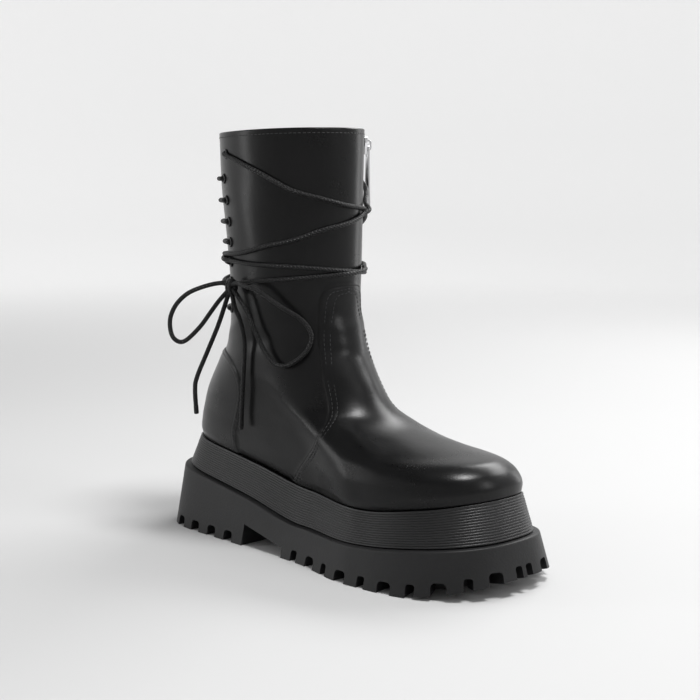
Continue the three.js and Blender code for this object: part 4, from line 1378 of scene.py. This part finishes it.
    def knot_parts(self) -> list:
        """The knot: a plump core of crossing cord with a band drawn tight round it."""
        centre = np.array(self.knot_centre)
        across, out, up = unit(np.array(self.knot_axes))
        radius = self.diameter / 2
        parts = []
        high, deep = self.knot_band
        for start, shift in self.knot_turns:
            angle = np.linspace(start, start + 2 * np.pi + 0.5, 60)
            band = centre + np.outer(np.cos(angle), up) * high + np.outer(np.sin(angle), out) * deep
            band = band + np.outer(np.linspace(shift - 1.2, shift + 1.2, 60), across)
            parts.append(tube(band, radius * 0.95))
        lean = np.linspace(-1, 1, 40)
        for sign in (1, -1):
            bend = np.outer(sign * (1.2 + 0.8 * lean * sign), up) + np.outer(0.4 - 1.2 * lean**2, out)
            parts.append(tube(centre + np.outer(lean * 5.4, across) + bend, radius))
        half, thick = self.knot_core
        core = centre + np.outer(np.linspace(-half, half, 24), up)
        parts.append(tube(core, thick * np.sqrt(1.02 - np.linspace(-1, 1, 24) ** 2), 16))
        return parts

    def cord(self, name: str, points: tuple, far_end: str, node: str, material: bpy.types.Material) -> None:
        """One loop or end of the bow.

        Args:
            name: the piece's name.
            points: the cord's middle line.
            far_end: what its far end is.
            node: the solid it stands for.
            material: the lace's finish.
        """
        line = spline(np.array(points), 150)
        radius = np.full(len(line), self.diameter / 2)
        if far_end == "bare":
            radius[-10:] *= 1.06
            radius[-1] *= 0.8
        verts, faces, uv = tube(line, radius, 14)
        obj = make_object(name, verts, faces, [material], uv=uv)
        settle(obj, BOOT, "lace_cord", node)

    def tubes(self, lines: list[np.ndarray]) -> list:
        """The lace along each of several lines."""
        return [tube(line, self.diameter / 2) for line in lines]

    def build(self, finishes: Paints) -> None:
        """Makes the lace in its pieces."""
        material = finishes["lace"]
        rows = range(1, len(self.eyelets.rows))
        bars = [self.bar_line(row) for row in rows]
        under = np.vstack(bars)
        first = self.over(self.strand_line(False), under)
        second = self.over(self.over(self.strand_line(True), under), first)
        for row in range(len(self.eyelets.rows) - 1):
            bars += [self.inner_run(row, inner) for inner in (False, True)]
        pieces = (
            ("lace_strands", self.tubes([first, second]), ["lace_wraps"]),
            ("lace_bars", self.tubes(bars), [f"lace_bar_{row + 1}" for row in rows]),
            ("lace_knot_tied", self.knot_parts(), ["lace_knot"]),
        )
        for name, parts, nodes in pieces:
            verts, faces, uv = join_parts(parts)
            settle(make_object(name, verts, faces, [material], uv=uv), BOOT, "lace_cord", *nodes)
        self.cord("bow_loop_back", self.loop_back, "knot", "lace_loop_back", material)
        self.cord("bow_loop_front", self.loop_front, "knot", "lace_loop_front", material)
        self.cord("bow_end_back", self.end_back, "bare", "lace_end_back", material)
        self.cord("bow_end_front", self.end_front, "bare", "lace_end_front", material)


@dataclass
class Zip:
    """The inner side zip: teeth, tape, slider and pull tab."""

    pitch: float = 1.9
    # a tooth across, along and out from the leather, and how far its row stands from the middle
    tooth: tuple = (3.0, 0.95, 1.5)
    tooth_aside: float = 1.15
    # half the tape's section: across, off the teeth's middle
    tape: tuple = ((4.6, -0.95), (4.4, -0.6), (2.9, -0.4))
    slider_up: float = 0.962
    slider_width: float = 8.6
    slider_length: float = 12.0
    slider_thickness: float = 2.0
    slider_base: float = 1.95
    bridge_gap: float = 2.6
    # the bridge's outer and inner arch: half length, height over the gap, steepness
    bridge_outer: tuple = (4.2, 1.6, 1.35)
    bridge_inner: tuple = (3.0, 0.4, 1.4)
    pull_length: float = 41.0
    pull_top: float = 5.6
    pull_tip: float = 8.2
    pull_thickness: float = 1.3
    # up as a share of the collar height, along of half the upper's length
    line: tuple = (
        (0.325, -0.195), (0.43, -0.2), (0.55, -0.203), (0.69, -0.184), (0.85, -0.172), (0.985, -0.166),
    )

    def at(self, up: np.ndarray, lift: float) -> tuple[np.ndarray, np.ndarray]:
        """Points on the zip's middle, off the skin by a lift, and the outward directions there."""
        along = Table(self.line).read(up)[..., 0]
        height = np.asarray(up, float) * FORM.collar_height
        turn = FORM.turn_at_x(along * FORM.half_length, height, True)
        rise = FORM.rise_at(turn, height)
        normal = FORM.skin_normal(turn, rise)
        return FORM.skin(turn, rise) + normal * lift, normal

    def group(self, lengths: dict[str, float], material: bpy.types.Material) -> bpy.types.NodeTree:
        """A group that lays interlocked pairs of teeth along a line."""
        sheet = GroupSheet("zip_teeth", lengths)
        across, _, deep = self.tooth
        size = {0: across * MM, 1: sheet.given["Tooth"], 2: deep * MM}
        whole = {"Size": sheet.add("ShaderNodeCombineXYZ", size).outputs[0]}
        tooth = sheet.add("GeometryNodeMeshCube", whole).outputs["Mesh"]
        pair = sheet.add("GeometryNodeJoinGeometry")
        half_pitch = sheet.math("MULTIPLY", sheet.given["Pitch"], 0.5)
        for aside, ahead in ((self.tooth_aside, 0.0), (-self.tooth_aside, half_pitch)):
            move = sheet.add("ShaderNodeCombineXYZ", {0: aside * MM, 1: ahead}).outputs[0]
            moved = sheet.add("GeometryNodeTransform", {"Geometry": tooth, "Translation": move})
            sheet.feed(pair, {0: moved.outputs[0]})
        turn = {"Rotation": sheet.outward(), "Vector": sheet.tangent()}
        running = sheet.add("FunctionNodeAlignRotationToVector", turn, axis="Y", pivot_axis="Z")
        copies = {
            "Points": sheet.even_points(),
            "Instance": pair.outputs[0],
            "Rotation": running.outputs[0],
        }
        return sheet.close(copies, material)

    def teeth(self, finishes: Paints) -> None:
        """Makes the row of teeth by Geometry Nodes, and the tape under it."""
        ups = np.linspace(self.line[0][0], self.line[-1][0], 60)
        places, ways = self.at(ups, 1.0)
        edges = [(i, i + 1) for i in range(len(ups) - 1)]
        lengths = {"Pitch": self.pitch, "Tooth": self.tooth[1]}
        group = self.group(lengths, finishes["silver"])
        obj = grow("zip_teeth", places, edges, group, lengths, outward=ways)
        settle(obj, BOOT, "zip_metal", "zip_chain")
        section = [*self.tape, *((-across, lift) for across, lift in reversed(self.tape))]
        points = []
        for centre, normal in zip(places, ways):
            side = unit(np.array([normal[1], -normal[0], 0.0]))
            points += [centre + side * across + normal * lift for across, lift in section]
        n = len(section)
        last = (len(places) - 1) * n
        faces = ring_faces(len(places), n) + [tuple(reversed(range(n))), tuple(range(last, last + n))]
        tape = make_object("zip_tape", np.array(points), faces, [finishes["tape"]], flat=True)
        face_outwards(tape)
        settle(tape, BOOT, "zip_metal")

    def local(self, points: list) -> np.ndarray:
        """Carries points from the slider's frame, x across, y up, z outwards, to the boot's."""
        origin, normal = self.at(np.array(self.slider_up), 0.0)
        out = unit(np.array([normal[0], normal[1], 0.0]))
        across = np.array([-out[1], out[0], 0.0])
        p = np.asarray(points, float)
        return origin + p[:, :1] * across + p[:, 1:2] * [0, 0, 1] + p[:, 2:3] * out

    @staticmethod
    def prism(outline: list, low: float, high: float) -> tuple[list, list]:
        """An outline pushed out from low to high."""
        n = len(outline)
        points = [(x, y, low) for x, y in outline] + [(x, y, high) for x, y in outline]
        faces = [tuple(reversed(range(n))), tuple(range(n, 2 * n))]
        faces += [(i, (i + 1) % n, n + (i + 1) % n, n + i) for i in range(n)]
        return points, faces

    def slider(self, finishes: Paints) -> None:
        """Makes the slider's body with its bridge."""
        half, long = self.slider_width / 2, self.slider_length / 2
        outline = [
            (-half * 0.6, -long), (half * 0.6, -long), (half * 0.74, -long * 0.3), (half, long * 0.3),
            (half * 0.92, long * 0.8), (half * 0.7, long), (-half * 0.7, long), (-half * 0.92, long * 0.8),
            (-half, long * 0.3), (-half * 0.74, -long * 0.3),
        ]
        points, faces = self.prism(outline, self.slider_base, self.slider_base + self.slider_thickness)
        face = self.slider_base + self.slider_thickness
        foot = face - 0.4
        arch = []
        for (half_arch, over, steep), first in ((self.bridge_outer, 0), (self.bridge_inner, np.pi)):
            for a in np.linspace(first, np.pi - first, 13):
                raised = (self.bridge_gap + over) * min(1.0, steep * math.sin(a))
                arch.append((half_arch * math.cos(a), foot + raised))
        start = len(points)
        n = len(arch)
        points += [(x, y, z) for x in (-0.9, 0.9) for y, z in arch]
        faces += [(start + i, start + (i + 1) % n, start + n + (i + 1) % n, start + n + i) for i in range(n)]
        for i in range(12):
            j = n - 1 - i
            faces.append((start + i, start + j, start + j - 1, start + i + 1))
            faces.append((start + n + i + 1, start + n + j - 1, start + n + j, start + n + i))
        obj = make_object("zip_slider_body", self.local(points), faces, [finishes["silver"]], flat=True)
        face_outwards(obj)
        round_edges(obj, 0.25, 3)
        settle(obj, BOOT, "zip_metal", "zip_slider")

    def pull(self, finishes: Paints) -> None:
        """Makes the pull tab: a round-topped slot above a plain plate."""
        half_top, half_tip = self.pull_top / 2, self.pull_tip / 2
        outer = [(half_top * math.cos(a), -2.2 + 2.85 * math.sin(a)) for a in np.linspace(0, np.pi, 13)]
        tip = -self.pull_length
        sides = [(-half_top, -9.0), (-half_tip, tip + 0.6), (-half_tip + 0.6, tip)]
        outline = outer + sides + [(-x, y) for x, y in reversed(sides)]
        slot = [(1.7 * math.cos(a), -2.4 + 1.75 * math.sin(a)) for a in np.linspace(0, np.pi, 13)]
        slot += [(-1.7, -6.6), (-1.2, -7.4), (1.2, -7.4), (1.7, -6.6)]
        axis = self.slider_base + self.slider_thickness + self.bridge_gap / 2
        low, high = axis - self.pull_thickness / 2, axis + self.pull_thickness / 2
        work = bmesh.new()
        rings = []
        for z in (low, high):
            for shape in (outline, slot):
                places = self.local([(x, y, z) for x, y in shape]) * MM
                rings.append([work.verts.new(p) for p in places])
        for k, z in enumerate((low, high)):
            edges = []
            for ring in rings[2 * k:2 * k + 2]:
                edges += [work.edges.new((a, b)) for a, b in zip(ring, ring[1:] + ring[:1])]
            bmesh.ops.triangle_fill(work, edges=edges, use_beauty=True)
        for low_ring, high_ring in ((rings[0], rings[2]), (rings[1], rings[3])):
            n = len(low_ring)
            for i in range(n):
                j = (i + 1) % n
                work.faces.new((low_ring[i], low_ring[j], high_ring[j], high_ring[i]))
        bmesh.ops.recalc_face_normals(work, faces=work.faces)
        mesh = bpy.data.meshes.new("zip_pull_tab")
        work.to_mesh(mesh)
        work.free()
        mesh.materials.append(finishes["silver"])
        obj = link_object("zip_pull_tab", mesh)
        round_edges(obj, 0.22, 3)
        settle(obj, PULL, "zip_metal", "zip_pull")

    def build(self, finishes: Paints) -> None:
        """Makes the whole zip."""
        self.teeth(finishes)
        self.slider(finishes)
        self.pull(finishes)


@dataclass
class Studio:
    """Camera, lights and floor."""

    camera_at: tuple = (615.98, -620.46, 244.81)
    camera_way: tuple = (-0.6603, 0.7441, -0.1018)
    turn_left: float = 3.0
    turn_down: float = 1.6
    focal_px: float = 1370.0
    frame_px: float = 700.0
    sensor: float = 36.0
    # name, place, aim, width, height, watts
    lights: tuple = (
        ("top_softbox", (470, 20, 1500), (60, 0, 100), 380, 380, 18.0),
        ("back_softbox", (60, 1180, 1100), (60, 0, 90), 1300, 480, 15.5),
        ("rim_strip", (180, 1500, 320), (0, 0, 150), 380, 700, 1.6),
        ("back_strip", (-1250, -1130, 420), (-40, 0, 150), 260, 1100, 4.0),
        ("toe_strip", (1500, 350, 900), (100, 0, 60), 350, 700, 3.5),
    )
    backdrop_way: tuple = (-0.66, 0.744)
    surround: tuple = (0.94, 0.94, 0.945, 1)
    surround_strength: float = 0.24
    floor_pale: float = 0.575
    # metres from the boot between which the floor's own glow grows, and what it grows to
    glow_span: tuple = (0.6, 2.4)
    glow: float = 0.47
    # metres towards the backdrop between which the glow grows from its front share to its whole
    toward_span: tuple = (-2.5, 1.0)
    front_share: float = 0.3
    # the floor's rings, each a radius and a height
    sweep: tuple = (
        (400.0, 0.0), (900.0, 0.0), (1500.0, 0.0), (2300.0, 0.0), (2700.0, 90.0), (2950.0, 340.0),
        (3050.0, 760.0), (3080.0, 2600.0),
    )

    def camera(self) -> None:
        """Sets the camera where the photograph was taken from, turned to frame the one boot."""
        data = bpy.data.cameras.new("camera")
        data.lens = self.sensor * self.focal_px / self.frame_px
        data.sensor_width = self.sensor
        obj = link_object("camera", data)
        obj.location = Vector(self.camera_at) * MM
        way = Vector(self.camera_way).normalized()
        yaw = math.atan2(way.y, way.x) + math.radians(self.turn_left)
        pitch = math.asin(way.z) - math.radians(self.turn_down)
        flat = math.cos(pitch)
        aim = Vector((flat * math.cos(yaw), flat * math.sin(yaw), math.sin(pitch)))
        obj.rotation_euler = aim.to_track_quat("-Z", "Y").to_euler()
        bpy.context.scene.camera = obj

    def light(self) -> None:
        """Sets the softboxes and the even surroundings."""
        for name, place, aim, width, height, watts in self.lights:
            data = bpy.data.lights.new(name, "AREA")
            data.shape = "RECTANGLE"
            data.size, data.size_y = width * MM, height * MM
            data.energy = watts
            obj = link_object(name, data)
            obj.location = Vector(place) * MM
            obj.rotation_euler = (Vector(aim) - Vector(place)).to_track_quat("-Z", "Y").to_euler()
        world = bpy.data.worlds.new("studio")
        bpy.context.scene.world = world
        world.use_nodes = True
        back = world.node_tree.nodes["Background"]
        back.inputs["Color"].default_value = self.surround
        back.inputs["Strength"].default_value = self.surround_strength

    def floor(self) -> None:
        """Makes a pale floor that curves up into a backdrop far behind."""
        n = 96
        angle = circle(n)
        rings = [
            np.stack([radius * np.cos(angle), radius * np.sin(angle), np.full(n, height)], axis=1)
            for radius, height in self.sweep
        ]
        points = np.vstack([[[0, 0, 0]], *rings])
        faces = [(0, 1 + i, 1 + (i + 1) % n) for i in range(n)]
        faces += [tuple(v + 1 for v in reversed(face)) for face in ring_faces(len(rings), n)]
        paint = self.pale_paint()
        make_object("floor", points - [0, 0, 0.05], faces, [paint])

    def pale_paint(self) -> bpy.types.Material:
        """Pale paint that evens out the light further from the boot, most of all on the backdrop."""
        paint, sheet, shader = open_material("pale_floor")
        where = sheet.add("ShaderNodeTexCoord").outputs["Object"]
        x, y, _ = sheet.add("ShaderNodeSeparateXYZ", {0: where}).outputs
        square = sheet.math("ADD", sheet.math("MULTIPLY", x, x), sheet.math("MULTIPLY", y, y))
        glow = sheet.ramp(sheet.math("SQRT", square), *self.glow_span, 0.0, self.glow)
        aside = sheet.math("MULTIPLY", y, self.backdrop_way[1])
        toward = sheet.math("MULTIPLY_ADD", x, self.backdrop_way[0], aside)
        glow = sheet.math("MULTIPLY", glow, sheet.ramp(toward, *self.toward_span, self.front_share, 1.0))
        sheet.feed(shader, {
            "Base Color": (self.floor_pale, self.floor_pale, self.floor_pale, 1),
            "Roughness": 0.8,
            "Specular IOR Level": 0.1,
            "Emission Color": (1, 1, 1, 1),
            "Emission Strength": glow,
        })
        return paint

    def build(self) -> None:
        """Sets the whole studio."""
        self.camera()
        self.light()
        self.floor()
        bpy.context.scene.view_settings.view_transform = "Standard"


@dataclass
class Insole:
    """The padded insole on top of the midsole."""

    inset: float = 19.8
    thickness: float = 3.5
    ring: int = 200
    # inset beyond the insole's own, share of the thickness
    section: tuple = ((0.7, 0.0), (0.15, 0.12), (0.0, 0.4), (0.1, 0.7), (0.6, 0.9), (1.6, 1.0), (4.5, 0.96))

    def build(self, finishes: Paints) -> None:
        """Makes the insole with a soft edge."""
        turns = circle(self.ring)
        along, _ = FORM.station(turns)
        bed = FORM.feather(along) + FORM.gap
        stack = [
            FORM.sole_point(turns, self.inset + extra, bed + self.thickness * up)
            for extra, up in self.section
        ]
        pad = make_object("insole_pad", *layered(stack), [finishes["lining"]])
        settle(pad, BOOT, "insole_lining", "insole")


def main() -> None:
    """Builds the studio and every piece of the boot in order."""
    logging.basicConfig(level=logging.INFO, format="%(name)s %(message)s")
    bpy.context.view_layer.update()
    Studio().build()
    palette = Finishes()
    finishes = {name: getattr(palette, name).make() for name in palette.__dataclass_fields__}
    stitcher = Stitcher(finishes["thread"])
    eyelets = Eyelets()
    Lace(eyelets).build(finishes)
    eyelets.build(finishes)
    Upper().build(finishes, stitcher)
    Midsole().build(finishes)
    Outsole().build(finishes)
    Insole().build(finishes)
    Zip().build(finishes)


if __name__ == "__main__":
    main()
